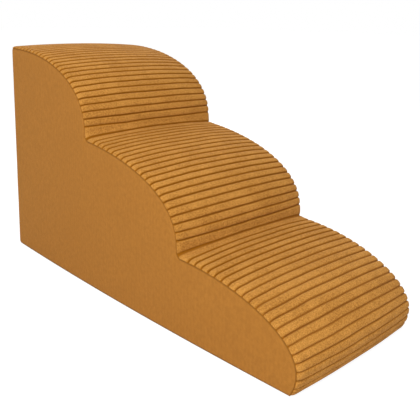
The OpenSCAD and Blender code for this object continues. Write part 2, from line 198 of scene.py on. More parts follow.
def thicken(piece, order, outer, inner):
    """Lay the grid on outer, extrude it once, and lay the extruded side on inner."""
    lay_points(piece, order, outer)
    number_points(piece, "place", order)
    edit_selected(piece, np.ones(len(piece.data.polygons)), "FACE")
    bpy.ops.mesh.extrude_region_move()
    leave_edit()
    lining = np.empty(len(piece.data.vertices), dtype=bool)
    piece.data.vertices.foreach_get("select", lining)
    place = numbers_of(piece, "place")
    co = points_of(piece)
    co[lining] = inner.reshape(-1, 3)[place[lining]]
    move_points(piece, co)
    turn_faces_out(piece)
    return place, lining


def cloth(name, outer, inner):
    """A closed cloth, the grid place of its points, and which points are its lining's."""
    piece, order = flat_cloth(name, *outer.shape[:2])
    return piece, *thicken(piece, order, outer, inner)


def cloth_with_opening(name, outer, inner, in_opening):
    """A closed cloth without its faces in the opening, and the grid place of its points."""
    piece, order = flat_cloth(name, *outer.shape[:2])
    lay_points(piece, order, outer)
    number_points(piece, "grid_place", order)
    edit_selected(piece, in_opening(face_centres(piece)), "FACE")
    bpy.ops.mesh.delete(type="FACE")
    leave_edit()
    kept = numbers_of(piece, "grid_place")
    sides = [grid.reshape(-1, 3)[kept] for grid in (outer, inner)]
    place, _ = thicken(piece, np.arange(len(kept)), *sides)
    return piece, kept[place]


# %% [markdown]
# A finished piece is shaded smooth up to an angle, so that its real edges stay sharp. It gets
# its finish and rides on one body of the solid model, and it can carry a value on each point
# that its finish reads, such as the painted shade of a furrow or a seam.

# %% Helpers for dressing a piece


def mark_points(piece, name, values):
    mark = piece.data.attributes.new(name, "FLOAT", "POINT")
    mark.data.foreach_set("value", np.asarray(values, dtype=np.float32))


def dress(piece, body, slot, finish, *nodes, angle=40):
    """The piece gets its finish, rides on its body and stands for its solid nodes."""
    work_on(piece)
    bpy.ops.object.shade_smooth_by_angle(angle=math.radians(angle))
    piece.data.materials.clear()
    piece.data.materials.append(finish)
    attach(piece, body)
    if nodes:
        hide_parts(*nodes)
    triangles = sum(len(p.vertices) - 2 for p in piece.data.polygons)
    size = [round(float(v) / mm, 1) for v in np.ptp(points_of(piece), axis=0)]
    print(piece.name, triangles, "triangles,", size, "mm")


# %% [markdown]
# ## The wave
# All panels follow one line, the seam between the tread and the side. Each tier leaves its
# tread almost level and turns down in a soft nose, a small arc makes the crease, and the
# last nose curls under to the floor. Seen from the side, the line runs in X and Z, and it is
# worked out once and measured by its length.

# %% Tiers, creases and toe
upper_depth, middle_depth, lower_depth = 304 * mm, 267 * mm, 248 * mm
upper_rise, middle_rise, lower_rise = 160 * mm, 153 * mm, 137 * mm
upper_fall, middle_fall, lower_fall = 3 * mm, 28 * mm, 5 * mm
upper_power, middle_power, lower_power = 2.3, 2.5, 2.05
crease_r = 11 * mm
toe_height, toe_r = 36 * mm, 64 * mm
base_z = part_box("base_panel")[0].z
base_t = 1.5 * mm
back_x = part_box("back_panel_left")[0].x
stair_h = upper_rise + middle_rise + lower_rise
quarter = math.pi / 2
nose_steps, crease_steps, toe_steps = 240, 40, 60


def tier(start, riser, low, fall, power):
    """A tread that falls a little, and its nose down to the low end of the riser."""
    run, drop = riser - start[0], start[1] - low
    turn = np.linspace(0, quarter, nose_steps)
    along = np.sin(turn) ** (2 / power)
    down = 1 - np.cos(turn) ** (2 / power)
    return np.column_stack([start[0] + run * along, start[1] - fall * along - (drop - fall) * down])


def crease(riser, low, slope):
    """The arc from a riser to the tread below it, which slopes by this angle."""
    turn = math.pi + np.linspace(0, quarter - slope, crease_steps)
    return np.array([riser, low]) + crease_r * (1 + np.column_stack([np.cos(turn), np.sin(turn)]))


print("the tiers rise", *(round(rise / mm) for rise in (upper_rise, middle_rise, lower_rise)), "mm")

# %% [markdown]
# Three tiers, two creases and the toe follow each other without a gap, from the top edge of
# the back to the floor. They are joined into one line of points.

# %% Seam line
riser_1, riser_2 = upper_depth, upper_depth + middle_depth
toe_x = riser_2 + lower_depth
crease_1_z, crease_2_z = stair_h - upper_rise, lower_rise
upper = tier((0, stair_h), riser_1, crease_1_z + crease_r, upper_fall, upper_power)
crease_1 = crease(riser_1, crease_1_z, math.atan(middle_fall / middle_depth))
middle = tier(crease_1[-1], riser_2, crease_2_z + crease_r, middle_fall, middle_power)
crease_2 = crease(riser_2, crease_2_z, math.atan(lower_fall / lower_depth))
lower = tier(crease_2[-1], toe_x, toe_height, lower_fall, lower_power)
toe_turn = np.linspace(0, math.asin((toe_height - base_z) / toe_r), toe_steps)
toe = np.column_stack([toe_x - toe_r * (1 - np.cos(toe_turn)), toe_height - toe_r * np.sin(toe_turn)])
seam = np.vstack([upper, crease_1[1:], middle[1:], crease_2[1:], lower[1:], toe[1:]])


def run_along(line):
    """The length of a line from its start to each of its points."""
    return np.concatenate([[0], np.cumsum(np.linalg.norm(np.diff(line, axis=0), axis=1))])


seam_run = run_along(seam)
seam_len = seam_run[-1]
print("seam", round(seam_len / mm), "mm long")

# %% [markdown]
# Cloth has no sudden changes. A soft step and a bell give every height, depth and shade here
# its soft start and end.

# %% Helpers for soft changes and places on a line


def ease(share):
    """From 0 to 1 with a soft start and a soft end."""
    t = np.clip(share, 0, 1)
    return t * t * (3 - 2 * t)


def bell(distance, width):
    """1 at no distance, and next to nothing at twice the width."""
    return np.exp(-((distance / width) ** 2))


def along_line(s, run, line):
    """The point of a line at a length s of its run."""
    return np.stack([np.interp(s, run, line[:, 0]), np.interp(s, run, line[:, 1])], axis=-1)


def seam_at(s):
    return along_line(s, seam_run, seam)


def unit(way):
    return way / np.linalg.norm(way, axis=-1, keepdims=True)


# %% [markdown]
# The tread stands proud of that seam, less so at the top edge of the back and at the floor,
# where it also turns level. The way out from the seam is a direction and a height that change
# smoothly along the line.

# %% The tread over the seam
crown, back_crown, toe_crown, back_rise = 13 * mm, 8 * mm, 7.5 * mm, 90 * mm
level_reach, level_end, slope_reach = 55 * mm, 10 * mm, 3 * mm
upright, forward = np.array([0.0, 1.0]), np.array([1.0, 0.0])


def seam_normal(s):
    along = unit(seam_at(np.minimum(seam_len, s + slope_reach)) - seam_at(np.maximum(0, s - slope_reach)))
    up = np.stack([-along[..., 1], along[..., 0]], axis=-1)
    up = np.where((s < slope_reach)[..., None], upright, up)
    level = ease((s - seam_len + level_reach) / (level_reach - level_end))[..., None]
    return unit(up * (1 - level) + forward * level)


def proud_of_seam(s):
    s = np.clip(s, 0, seam_len)
    full = crown + (toe_crown - crown) * ease((s - seam_len + level_reach) / level_reach)
    full = full - (crown - back_crown) * (1 - ease(s / back_rise))
    return seam_at(s) + seam_normal(s) * full[:, None]


print("crown", round(crown / mm, 1), "mm, at the back", round(back_crown / mm, 1), "mm")

# %% [markdown]
# In a crease the plush doesn't follow the corner: it is stretched over it. There the crown is
# the mean of its neighbours on both sides, which rounds the corner, while the seam stays
# tight. The wales are then counted along the crown.

# %% Crown of the tread and its wales
crease_ease, crease_fade = 28 * mm, 50 * mm
way_step, neighbours = 0.8 * mm, np.linspace(-1, 1, 17)
before_toe = slice(0, len(seam) - len(toe))
crease_1_s, crease_2_s = np.interp(
    [riser_1 + crease_r / 2, riser_2 + crease_r / 2], seam[before_toe, 0], seam_run[before_toe]
)


def crease_share(s):
    return bell(s - crease_1_s, crease_fade) + bell(s - crease_2_s, crease_fade)


way_s = np.unique(np.round(np.concatenate([seam_run, np.arange(0, seam_len, way_step)]), 7))
samples = [proud_of_seam(way_s + crease_ease * crease_share(way_s) * share) for share in neighbours]
way_out = sum(samples) / len(samples) - seam_at(way_s)


def way_at(s):
    return along_line(np.asarray(s, dtype=float), way_s, way_out)


def outward(s):
    return unit(way_at(s))


def crown_at(s):
    return np.linalg.norm(way_at(s), axis=-1)


crown_run = run_along(seam_at(way_s) + way_out)
wale_pitch = 15 * mm
wale_count = round(crown_run[-1] / wale_pitch)
wale_step = crown_run[-1] / wale_count
print(wale_count, "wales,", round(wale_step / mm, 2), "mm apart")

# %% [markdown]
# Seen from above, the cover bows out a little at half length and its back corners are round.
# The bow is one large arc, so a function gives the half width at any place along the stairs,
# and every panel asks it where its edge is.

# %% Half width of the cover
stair_w, side_bow, corner_r = 305 * mm, 9 * mm, 9 * mm
bow_r = (toe_x * toe_x / 4 + side_bow * side_bow) / (2 * side_bow)


def bowed(x):
    return stair_w / 2 + side_bow - bow_r + np.sqrt(bow_r * bow_r - (x - toe_x / 2) ** 2)


corner_y = float(bowed(corner_r)) - corner_r


def half_width(x):
    x = np.asarray(x, dtype=float)
    round_part = corner_y + np.sqrt(np.clip(corner_r**2 - (corner_r - x) ** 2, 0, None))
    return np.where(x >= corner_r, bowed(x), round_part)


print("width at half length", round(2 * float(half_width(toe_x / 2)) / mm), "mm")

# %% [markdown]
# Across the stairs the tread is tight over the foam: it leaves each seam in a small roll and
# then arches gently to its crown. Its lining follows at the thickness of the plush.

# %% Arch of the tread across the stairs
roll_w, roll_share, arch_power = 12 * mm, 0.4, 2.4
plush_t, least_lining = 4.5 * mm, 0.5 * mm


def cover_out(s, inset):
    """Height of the tread over the seam line, at an inset from the side."""
    roll = np.sqrt(1 - (1 - np.minimum(1, inset / roll_w)) ** 2)
    arch = 1 - np.clip(1 - 2 * inset / stair_w, 0, None) ** arch_power
    return crown_at(s) * (roll * roll_share + arch * (1 - roll_share))


def lining_out(s, inset):
    whole = np.maximum(least_lining, cover_out(s, np.maximum(inset, roll_w)) - plush_t)
    return whole * np.minimum(1, inset / roll_w)


at_roll, at_middle = (float(cover_out(seam_len / 5, inset)) for inset in (roll_w, stair_w / 2))
print("tread over the seam:", round(at_roll / mm, 1), "mm, in the middle", round(at_middle / mm, 1))

# %% [markdown]
# ## Finishes
# Every finish is built from nodes on Object coordinates, which are metres here, so a noise
# scale of 500 has features of about 2 mm. One helper starts each finish with the values that
# are the same all over it.

# %% Helper that starts a finish


def new_finish(name, roughness, specular=0.5, sheen=0.0, sheen_roughness=0.5, sheen_tint=(1, 1, 1)):
    finish = bpy.data.materials.new(name)
    finish.use_nodes = True
    tree = finish.node_tree
    shader = tree.nodes["Principled BSDF"]
    shader.inputs["Roughness"].default_value = roughness
    shader.inputs["Specular IOR Level"].default_value = specular
    shader.inputs["Sheen Weight"].default_value = sheen
    shader.inputs["Sheen Roughness"].default_value = sheen_roughness
    shader.inputs["Sheen Tint"].default_value = (*sheen_tint, 1)
    return finish, tree, shader


def feed(tree, value, socket):
    """Set a socket to a number or a colour, or link it to another node's output."""
    if isinstance(value, tuple):
        socket.default_value = (*value, 1)
    elif isinstance(value, (int, float)):
        socket.default_value = value
    else:
        tree.links.new(value, socket)


# %% [markdown]
# Patterns come from three textures: noise for wool, dust and dye, bands for threads, and cells
# for foam. A pattern can be stretched with a Mapping node, which is how a pile leans.

# %% Helpers for patterns


def object_space(tree, stretch=(1, 1, 1)):
    place = tree.nodes.new("ShaderNodeTexCoord")
    mapping = tree.nodes.new("ShaderNodeMapping")
    mapping.inputs["Scale"].default_value = stretch
    tree.links.new(place.outputs["Object"], mapping.inputs["Vector"])
    return mapping.outputs["Vector"]


def noise(tree, space, scale, detail=3, roughness=0.55):
    node = tree.nodes.new("ShaderNodeTexNoise")
    node.inputs["Scale"].default_value = scale
    node.inputs["Detail"].default_value = detail
    node.inputs["Roughness"].default_value = roughness
    tree.links.new(space, node.inputs["Vector"])
    return node.outputs["Fac"]


def threads(tree, space, scale, direction, distortion=0.6):
    node = tree.nodes.new("ShaderNodeTexWave")
    node.wave_type = "BANDS"
    node.bands_direction = direction
    node.inputs["Scale"].default_value = scale
    node.inputs["Distortion"].default_value = distortion
    node.inputs["Detail"].default_value = 1
    tree.links.new(space, node.inputs["Vector"])
    return node.outputs["Fac"]


def foam_cells(tree, space, scale):
    node = tree.nodes.new("ShaderNodeTexVoronoi")
    node.inputs["Scale"].default_value = scale
    tree.links.new(space, node.inputs["Vector"])
    return node.outputs["Distance"]


def attribute(tree, name):
    node = tree.nodes.new("ShaderNodeAttribute")
    node.attribute_name = name
    return node.outputs["Fac"]


# %% [markdown]
# A pattern rarely has the contrast that a finish needs. A Map Range node stretches the part of
# it that counts, and a Mix node lays one colour over another by that share.

# %% Helpers for mixing


def remap(tree, value, between, to=(0, 1)):
    """The values between two numbers become the values from one number to another."""
    node = tree.nodes.new("ShaderNodeMapRange")
    node.interpolation_type = "SMOOTHSTEP"
    for name, number in zip(("From Min", "From Max", "To Min", "To Max"), (*between, *to)):
        node.inputs[name].default_value = number
    tree.links.new(value, node.inputs["Value"])
    return node.outputs["Result"]


def combine(tree, operation, a, b):
    node = tree.nodes.new("ShaderNodeMath")
    node.operation = operation
    feed(tree, a, node.inputs[0])
    feed(tree, b, node.inputs[1])
    return node.outputs["Value"]


def times(tree, a, b):
    return combine(tree, "MULTIPLY", a, b)


def mix_colour(tree, share, a, b):
    """Colour a with this share of colour b."""
    node = tree.nodes.new("ShaderNodeMix")
    node.data_type = "RGBA"
    first, second = [s for s in node.inputs if s.type == "RGBA"]
    feed(tree, share, node.inputs["Factor"])
    feed(tree, a, first)
    feed(tree, b, second)
    return [s for s in node.outputs if s.type == "RGBA"][0]


def darker(colour, share):
    return tuple(share * c for c in colour)


# %% [markdown]
# A Bump node roughens the surface without new faces. One bump can lie on another, a fine
# grain over a coarse one.

# %% Helper for bumps


def bump(tree, shader, height, distance, strength, under=None):
    node = tree.nodes.new("ShaderNodeBump")
    node.inputs["Distance"].default_value = distance
    node.inputs["Strength"].default_value = strength
    tree.links.new(height, node.inputs["Height"])
    if under is not None:
        tree.links.new(under, node.inputs["Normal"])
    tree.links.new(node.outputs["Normal"], shader.inputs["Normal"])
    return node.outputs["Normal"]


# %% [markdown]
# ### Ribbed plush
# The plush is short and dense. Its pile stands in tufts of one to two millimetres, so the
# colour is speckled with darker tips, more so in the patches where the pile was brushed the
# other way. The furrows between the wales are painted darker: partly the plush's deeper colour
# there, partly painted shade in the furrows. A little sheen makes the pile soft at its edges.

# %% Plush finish
plush_light = (0.62, 0.29, 0.06)
plush_mid = (0.45, 0.19, 0.032)
plush_dark = (0.24, 0.084, 0.008)
# The colour of the furrows: the plush's deeper colour there, with painted shade.
plush_furrow_shade = (0.29, 0.1, 0.0035)
plush, tree, shader = new_finish(
    "ribbed_plush", 0.95, specular=0.12, sheen=0.07, sheen_roughness=0.4, sheen_tint=(1, 0.85, 0.62)
)
space = object_space(tree)
patches = remap(tree, noise(tree, space, 22, 3, 0.6), (0.34, 0.66))
tufts = noise(tree, object_space(tree, stretch=(1, 0.7, 1)), 640, 4, 0.7)
colour = mix_colour(tree, remap(tree, tufts, (0.38, 0.58)), plush_mid, plush_light)
tips = noise(tree, object_space(tree, stretch=(1, 0.6, 1)), 470, 3, 0.65)
tips = remap(tree, tips, (0.4, 0.54), (0.78, 0))
tips = times(tree, tips, combine(tree, "ADD", times(tree, patches, 0.75), 0.25))
colour = mix_colour(tree, tips, colour, plush_dark)
colour = mix_colour(tree, times(tree, patches, 0.42), colour, plush_mid)
# Painted shade: the plush is darkened in its furrows and along the seam by the value on each point.
colour = mix_colour(tree, remap(tree, attribute(tree, "furrow_shade"), (0.12, 0.85)), colour, plush_furrow_shade)
feed(tree, colour, shader.inputs["Base Color"])
pile = bump(tree, shader, noise(tree, space, 900, 2, 0.6), 0.5 * mm, 0.6)
bump(tree, shader, tufts, 1.2 * mm, 0.8, under=pile)
print(plush.name, len(tree.nodes), "nodes")

# %% [markdown]
# ### Plain cloth
# The sides and the back are a plain knitted cloth with a short nap. It shows a very fine
# upright rib and a soft mottling, and hardly any gloss. The same recipe with other threads
# and colours serves the back, the zip's end tabs and the zip's tapes.

# %% Cloth finishes


def knit_finish(name, light, dark, rib_axis, rib_scale, rib_share=0.3, sheen=0.04):
    finish, tree, shader = new_finish(name, 0.92, specular=0.12, sheen=sheen, sheen_tint=(1, 0.8, 0.5))
    space = object_space(tree)
    ribs = threads(tree, space, rib_scale, rib_axis, 0.8)
    rows = threads(tree, space, rib_scale * 0.8, "Z", 0.8)
    knit = times(tree, ribs, combine(tree, "ADD", times(tree, rows, 0.5), 0.5))
    nap = noise(tree, object_space(tree, stretch=(1, 1, 0.7)), 210, 3, 0.65)
    colour = mix_colour(tree, remap(tree, nap, (0.32, 0.68)), dark, light)
    colour = mix_colour(tree, remap(tree, noise(tree, space, 9, 2), (0.3, 0.7), (0, 0.4)), colour, dark)
    shade = times(tree, remap(tree, knit, (0.1, 0.7), (1, 0)), rib_share)
    colour = mix_colour(tree, shade, colour, darker(dark, 0.72))
    broad = remap(tree, threads(tree, space, 40, rib_axis, 1.6), (0.1, 0.8), (0.09, 0))
    colour = mix_colour(tree, broad, colour, darker(dark, 0.7))
    blotch = noise(tree, object_space(tree, stretch=(1, 1, 0.85)), 130, 3, 0.7)
    colour = mix_colour(tree, remap(tree, blotch, (0.36, 0.6), (0.24, 0)), colour, darker(dark, 0.68))
    # Painted shade: the cloth is darkened along its seams by the value on each point.
    colour = mix_colour(tree, times(tree, attribute(tree, "seam"), 0.8), colour, darker(dark, 0.3))
    feed(tree, colour, shader.inputs["Base Color"])
    fuzz = bump(tree, shader, noise(tree, space, 900, 2), 0.25 * mm, 0.5)
    bump(tree, shader, knit, 0.22 * mm, 0.6, under=fuzz)
    print(finish.name, len(tree.nodes), "nodes")
    return finish


side_light, side_dark = (0.476, 0.196, 0.0325), (0.422, 0.169, 0.0262)
tape_light, tape_dark = (0.345, 0.145, 0.03), (0.27, 0.108, 0.02)
side_cloth = knit_finish("side_cloth", side_light, side_dark, "X", 420)
back_cloth = knit_finish("back_cloth", side_light, side_dark, "Y", 420)
tape_cloth = knit_finish("zip_tape_weave", tape_light, tape_dark, "DIAGONAL", 300, 0.6, 0.05)

# %% [markdown]
# ### Base cloth and rubber
# The base is a dark close weave, and its dots are a soft rubber, a little scuffed where they
# rub the floor.

# %% Finishes of the base
base_light, base_dark, base_gap = (0.06, 0.037, 0.019), (0.036, 0.022, 0.011), (0.015, 0.009, 0.004)
base_cloth, tree, shader = new_finish("non_slip_cloth", 0.9, specular=0.2, sheen=0.05)
space = object_space(tree)
weave = combine(tree, "MAXIMUM", threads(tree, space, 260, "X"), threads(tree, space, 260, "Y"))
colour = mix_colour(tree, remap(tree, noise(tree, space, 130), (0.3, 0.7)), base_dark, base_light)
colour = mix_colour(tree, remap(tree, weave, (0.2, 0.9), (0.5, 0)), colour, base_gap)
feed(tree, colour, shader.inputs["Base Color"])
bump(tree, shader, weave, 0.3 * mm, 0.7)

rubber_dark, rubber_scuffed = (0.028, 0.021, 0.015), (0.075, 0.062, 0.05)
rubber, tree, shader = new_finish("dot_rubber", 0.55, specular=0.45)
space = object_space(tree)
scuff = remap(tree, noise(tree, space, 420), (0.45, 0.75), (0, 0.5))
feed(tree, mix_colour(tree, scuff, rubber_dark, rubber_scuffed), shader.inputs["Base Color"])
feed(tree, remap(tree, noise(tree, space, 900), (0.3, 0.7), (0.45, 0.7)), shader.inputs["Roughness"])
bump(tree, shader, noise(tree, space, 1500), 0.08 * mm, 0.5)
print(base_cloth.name, "and", rubber.name)

# %% [markdown]
# ### Foam
# Both foams are pale and full of fine cells, and the light goes a little way into them. They
# yellow unevenly with age.

# %% Foam finishes


def foam_finish(name, light, dark):
    finish, tree, shader = new_finish(name, 0.95, specular=0.2)
    shader.inputs["Subsurface Weight"].default_value = 0.1
    shader.inputs["Subsurface Radius"].default_value = (4 * mm, 3 * mm, 2 * mm)
    space = object_space(tree)
    cells = foam_cells(tree, space, 620)
    colour = mix_colour(tree, times(tree, remap(tree, cells, (0.15, 0.6)), 0.5), light, dark)
    age = remap(tree, noise(tree, space, 7), (0.35, 0.7), (0, 0.35))
    feed(tree, mix_colour(tree, age, colour, darker(dark, 0.85)), shader.inputs["Base Color"])
    bump(tree, shader, cells, 0.5 * mm, 0.6)
    print(finish.name, len(tree.nodes), "nodes")
    return finish


block_foam = foam_finish("support_foam_cells", (0.83, 0.76, 0.58), (0.68, 0.59, 0.41))
soft_foam = foam_finish("topping_foam_cells", (0.9, 0.9, 0.86), (0.78, 0.78, 0.72))

# %% [markdown]
# ### Coil, metal and thread
# The zip's coil is dyed nylon, and its slider is sprayed metal whose edges are worn bare. A
# node that knows how sharp the surface is at each point finds those edges. The sewing thread is
# a little lighter than the cloth and shows its twist.

# %% Finishes of the zip
nylon_dark, nylon_light = (0.34, 0.142, 0.028), (0.42, 0.185, 0.042)
nylon, tree, shader = new_finish("coil_nylon", 0.42)
space = object_space(tree)
dye = remap(tree, noise(tree, space, 240), (0.3, 0.7))
feed(tree, mix_colour(tree, dye, nylon_dark, nylon_light), shader.inputs["Base Color"])
feed(tree, remap(tree, noise(tree, space, 1100), (0.3, 0.7), (0.35, 0.5)), shader.inputs["Roughness"])

spray_colour, bare_metal = (0.36, 0.17, 0.045), (0.55, 0.5, 0.42)
metal, tree, shader = new_finish("sprayed_zip_metal", 0.4)
space = object_space(tree)
sharpness = tree.nodes.new("ShaderNodeNewGeometry").outputs["Pointiness"]
rubbed = remap(tree, noise(tree, space, 700), (0.35, 0.6), (0.2, 1))
bare = times(tree, remap(tree, sharpness, (0.55, 0.66), (0, 0.6)), rubbed)
feed(tree, mix_colour(tree, bare, spray_colour, bare_metal), shader.inputs["Base Color"])
feed(tree, bare, shader.inputs["Metallic"])
feed(tree, remap(tree, noise(tree, space, 900), (0.3, 0.7), (0.34, 0.5)), shader.inputs["Roughness"])
bump(tree, shader, noise(tree, space, 1400), 0.05 * mm, 0.4)

thread_dark, thread_light = (0.4, 0.175, 0.036), (0.56, 0.27, 0.07)
thread, tree, shader = new_finish("sewing_thread", 0.7, specular=0.3, sheen=0.2)
strand = threads(tree, object_space(tree), 900, "DIAGONAL", 0.3)
feed(tree, mix_colour(tree, strand, thread_dark, thread_light), shader.inputs["Base Color"])
bump(tree, shader, strand, 0.1 * mm, 0.6)
print(len(bpy.data.materials), "finishes")

# %% [markdown]
# ## Ribbed plush tread
# The tread is one long piece of plush. It is laid as a sheet over the wave: rows run along
# the stairs, twelve to a wale, and columns run across, close together where the sheet rolls
# down to the seams. A few more rows at the back edge follow its tight fold. Each row then
# sinks into its furrow, the ends of the wales puff out and are drawn in again at the seam, and
# the furrows wander a little, as sewn plush does.

# %% Rows and columns of the tread
wale_rows = np.array([0, 0.04, 0.085, 0.14, 0.22, 0.34, 0.5, 0.66, 0.78, 0.86, 0.915, 0.96])
back_edge_rows = [0.01, 0.022, 0.062, 0.11, 0.18, 0.28]
tread_rows = (np.arange(wale_count)[:, None] + wale_rows).ravel()
tread_a = np.sort(np.concatenate([tread_rows, back_edge_rows, [wale_count]])) * wale_step
roll_turns = np.radians([0, 3, 6.5, 10.5, 15, 21, 28, 37, 48, 60, 74, 90])
middle_shares = np.linspace(-1, 1, 28)[1:-1]
roll_ones, middle_ones = np.ones(len(roll_turns)), np.ones(len(middle_shares))
column_turn = np.concatenate([roll_turns, middle_ones * quarter, roll_turns[::-1]])
column_side = np.concatenate([-roll_ones, middle_shares, roll_ones])
in_middle = np.abs(column_side) < 1
rows, columns = len(tread_a), len(column_side)
down_tread, across = tread_a[:, None], column_side * np.ones((rows, 1))
print("tread grid", rows, "by", columns)

# %% [markdown]
# Small uneven movements make cloth look real. They come from a few added sine waves with
# fixed steps, so that every run gives the same cloth.

# %% Uneven movement


def wander(u, v, seed=0.0):
    """A smooth value of about -1 to 1 that wanders over u and v."""
    total = np.zeros(np.broadcast(u, v).shape)
    for i in range(1, 6):
        fade = 1 + 0.35 * i
        total = total + np.sin(u * (0.9 + 0.63 * i) + v * (1.1 + 0.41 * i) + i * i * 1.7 + seed) / fade
        total = total + np.sin(u * (0.5 + 0.37 * i) - v * (0.7 + 0.59 * i) + i * 2.3 + 2 * seed) / fade
    return total / 4.2


print("wander from", *np.round([f(wander(down_tread / wale_step, across)) for f in (np.min, np.max)], 2))

# %% [markdown]
# The smooth form comes first: every row stands over its place on the seam line, and every
# column keeps its share of the width between the two rolls. Near the seams the furrows run
# straight; between them they wander by about a millimetre.

# %% Lay the tread over the wave
slow_shift, slow_length = 0.8 * mm, 38 * mm
fine_shift, fine_length = 0.3 * mm, 16 * mm
straight_end = 20 * mm
shift = slow_shift * wander(down_tread / slow_length, across * 3.1)
shift = shift + fine_shift * wander(down_tread / fine_length, across * 8, 2)
shift = shift * np.where(in_middle, 1 - bell(1 - np.abs(across), 1 / 6), 0)
end_fade = ease(np.minimum(down_tread, tread_a[-1] - down_tread) / straight_end)
row_s = np.interp(down_tread + shift * end_fade, crown_run, way_s)


def tread_surface():
    """The sheet in its smooth form, without any wales."""
    roll_inset = roll_w * (1 - np.cos(column_turn))
    half = half_width(seam_at(row_s)[..., 0])
    inset = np.where(in_middle, half - np.abs(across) * (half - roll_w), roll_inset)
    x, z = np.moveaxis(seam_at(row_s) + outward(row_s) * cover_out(row_s, inset)[..., None], -1, 0)
    half = half_width(x)
    y = np.where(in_middle, across * (half - roll_w), np.sign(across) * (half - roll_inset))
    return xyz(x + back_x, y, z)


def sheet_normals(grid):
    normal = np.cross(np.gradient(grid, axis=0), np.gradient(grid, axis=1))
    return normal / np.maximum(np.linalg.norm(normal, axis=-1, keepdims=True), 1e-12)


smooth_tread = tread_surface()
tread_normal = sheet_normals(smooth_tread)
on_top = rows // 4
if tread_normal[on_top, columns // 2, 2] < 0:
    tread_normal = -tread_normal
column_gaps = np.linalg.norm(np.diff(smooth_tread, axis=1), axis=-1)
from_left = np.concatenate([np.zeros((rows, 1)), np.cumsum(column_gaps, axis=1)], axis=1)
from_seam = np.minimum(from_left, from_left[:, -1:] - from_left)
print("tread, across over the crown:", round(float(from_left[on_top, -1]) / mm), "mm")

# %% [markdown]
# Each point is then moved along the normal of the smooth form. A furrow is a narrow groove in
# a wide round hollow, so that the wale between two of them is a soft cushion. Close to the
# seam the furrow fades, the wale's end puffs up and the edge is pulled in by the stitches. On
# the level treads the wales stand a little further open.

# %% Furrows, puffed wale ends and the drawn seam
wale_depth, groove_w = 2.6 * mm, 1.5 * mm
groove_share, hollow_share, hollow_power = 0.66, 0.34, 1.8
groove_opens, groove_opens_in = 0.6, 3 * mm
wale_uneven, furrow_uneven, level_opens = 0.14, 0.1, 0.12
pit_share, pit_from_seam, pit_w = 0.2, 3 * mm, 2.2 * mm
seam_fades, seam_w, seam_pull = 0.85, 1.7 * mm, 0.8 * mm
puff_h, puff_from_seam, sway_h, sway_length = 0.5 * mm, 5 * mm, 0.35 * mm, 60 * mm
phase = down_tread / wale_step
to_furrow = np.abs(phase - np.round(phase)) * wale_step
wale = np.minimum(np.round(phase), wale_count)
level = np.clip(tread_normal[..., 2], 0, 1) ** 2
deep = 1 + wale_uneven * np.sin(wale * 2.4 + 1) + furrow_uneven * wander(wale * 1.7, across * 2.5, 3)
deep = deep + level_opens * level
at_seam = bell(from_seam, seam_w)
groove = groove_share * bell(to_furrow, groove_w * (1 + groove_opens * bell(from_seam, groove_opens_in)))
groove = groove + hollow_share * (1 - np.sin(math.pi * to_furrow / wale_step)) ** hollow_power
pit = 1 + pit_share * bell(from_seam - pit_from_seam, pit_w) - seam_fades * at_seam
puff = from_seam / puff_from_seam * np.exp(1 - from_seam / puff_from_seam)
sway = wander(down_tread / sway_length, across * 2.2, 5) * (1 - at_seam)
print("furrows", round(float((wale_depth * deep * groove * pit).max()) / mm, 1), "mm deep at most")

# %% [markdown]
# The roll at the seam is tight at the back and at the toe. There the edge is pulled in less,
# and the lining side is thinner, so that the shell doesn't cross itself. The tread's edge
# reaches a little over the seam, and no furrow is deeper there than the plush, so that no foam
# shows through. Everywhere else the lining side stays below the deepest furrow.

# %% Both sides of the plush
roomy_roll, deepest_at_seam, deeper_inward = 2 * mm, 1.2 * mm, 0.5
over_seam, over_seam_w = 0.3 * mm, 0.6 * mm
tight_lining, roomy_adds, lining_grows, least_plush = 0.3 * mm, 1.3 * mm, 0.35, 0.4 * mm
room = np.minimum(1, (roll_share * crown_at(row_s)) ** 2 / roll_w / roomy_roll)
lift = -wale_depth * deep * groove * pit + puff_h * puff * (1 - groove)
lift = lift - seam_pull * room * at_seam + sway_h * sway
lift = np.maximum(lift, -deepest_at_seam - deeper_inward * from_seam)
outer_tread = smooth_tread + tread_normal * lift[..., None]
outer_tread[..., [0, 2]] -= over_seam * bell(from_seam, over_seam_w)[..., None] * outward(row_s)
lining = np.minimum(plush_t, tight_lining + roomy_adds * room + lining_grows * from_seam)
lining = np.maximum(lining, least_plush - lift)
inner_tread = smooth_tread - tread_normal * lining[..., None]
print("lining side", *(round(float(f(lining)) / mm, 2) for f in (np.min, np.max)), "mm inward")

# %% [markdown]
# One extrude gives the sheet its lining side. A value on each point carries painted shade to the
# finish: dark furrows, wider on the level treads, and a dark seam line; the lining side is darker
# too. The furrows of the lowest tread get less painted shade, as light falls straight into them.

# %% Extrude the tread and finish it
furrow_shade_w, furrow_shade_opens, seam_shade, seam_shade_w, dark_lining = 1.7 * mm, 0.55, 0.9, 1.3 * mm, 0.6
less_shade_share, less_shade_from, less_shade_fade = 0.34, 760 * mm, 120 * mm
tread, place, on_lining = cloth("plush_tread", outer_tread, inner_tread)
# Painted shade: furrows are darkened, more widely on level treads and less on the lowest tread, and the
# seam is a dark line.
near_furrow_shade = bell(to_furrow, furrow_shade_w * (1 + furrow_shade_opens * level)) * (0.75 + 0.25 * deep)
near_furrow_shade = near_furrow_shade * (1 - less_shade_share * ease((down_tread - less_shade_from) / less_shade_fade))
furrow_shade = np.clip(near_furrow_shade + seam_shade * bell(from_seam, seam_shade_w), 0, 1)
mark_points(tread, "furrow_shade", np.where(on_lining, dark_lining, furrow_shade.ravel()[place]))
dress(tread, "stairs", "ribbed_plush", plush, "tread_panel", angle=60)

# %% [markdown]
# ## Side panels
# Each side is one plain panel cut to the wave. Its threads are laid as columns that rise from
# the floor edge to the seam, fanned so that none crosses another on the risers. Columns and
# rows stand closer together near the creases and the seams, where the cloth bends most.

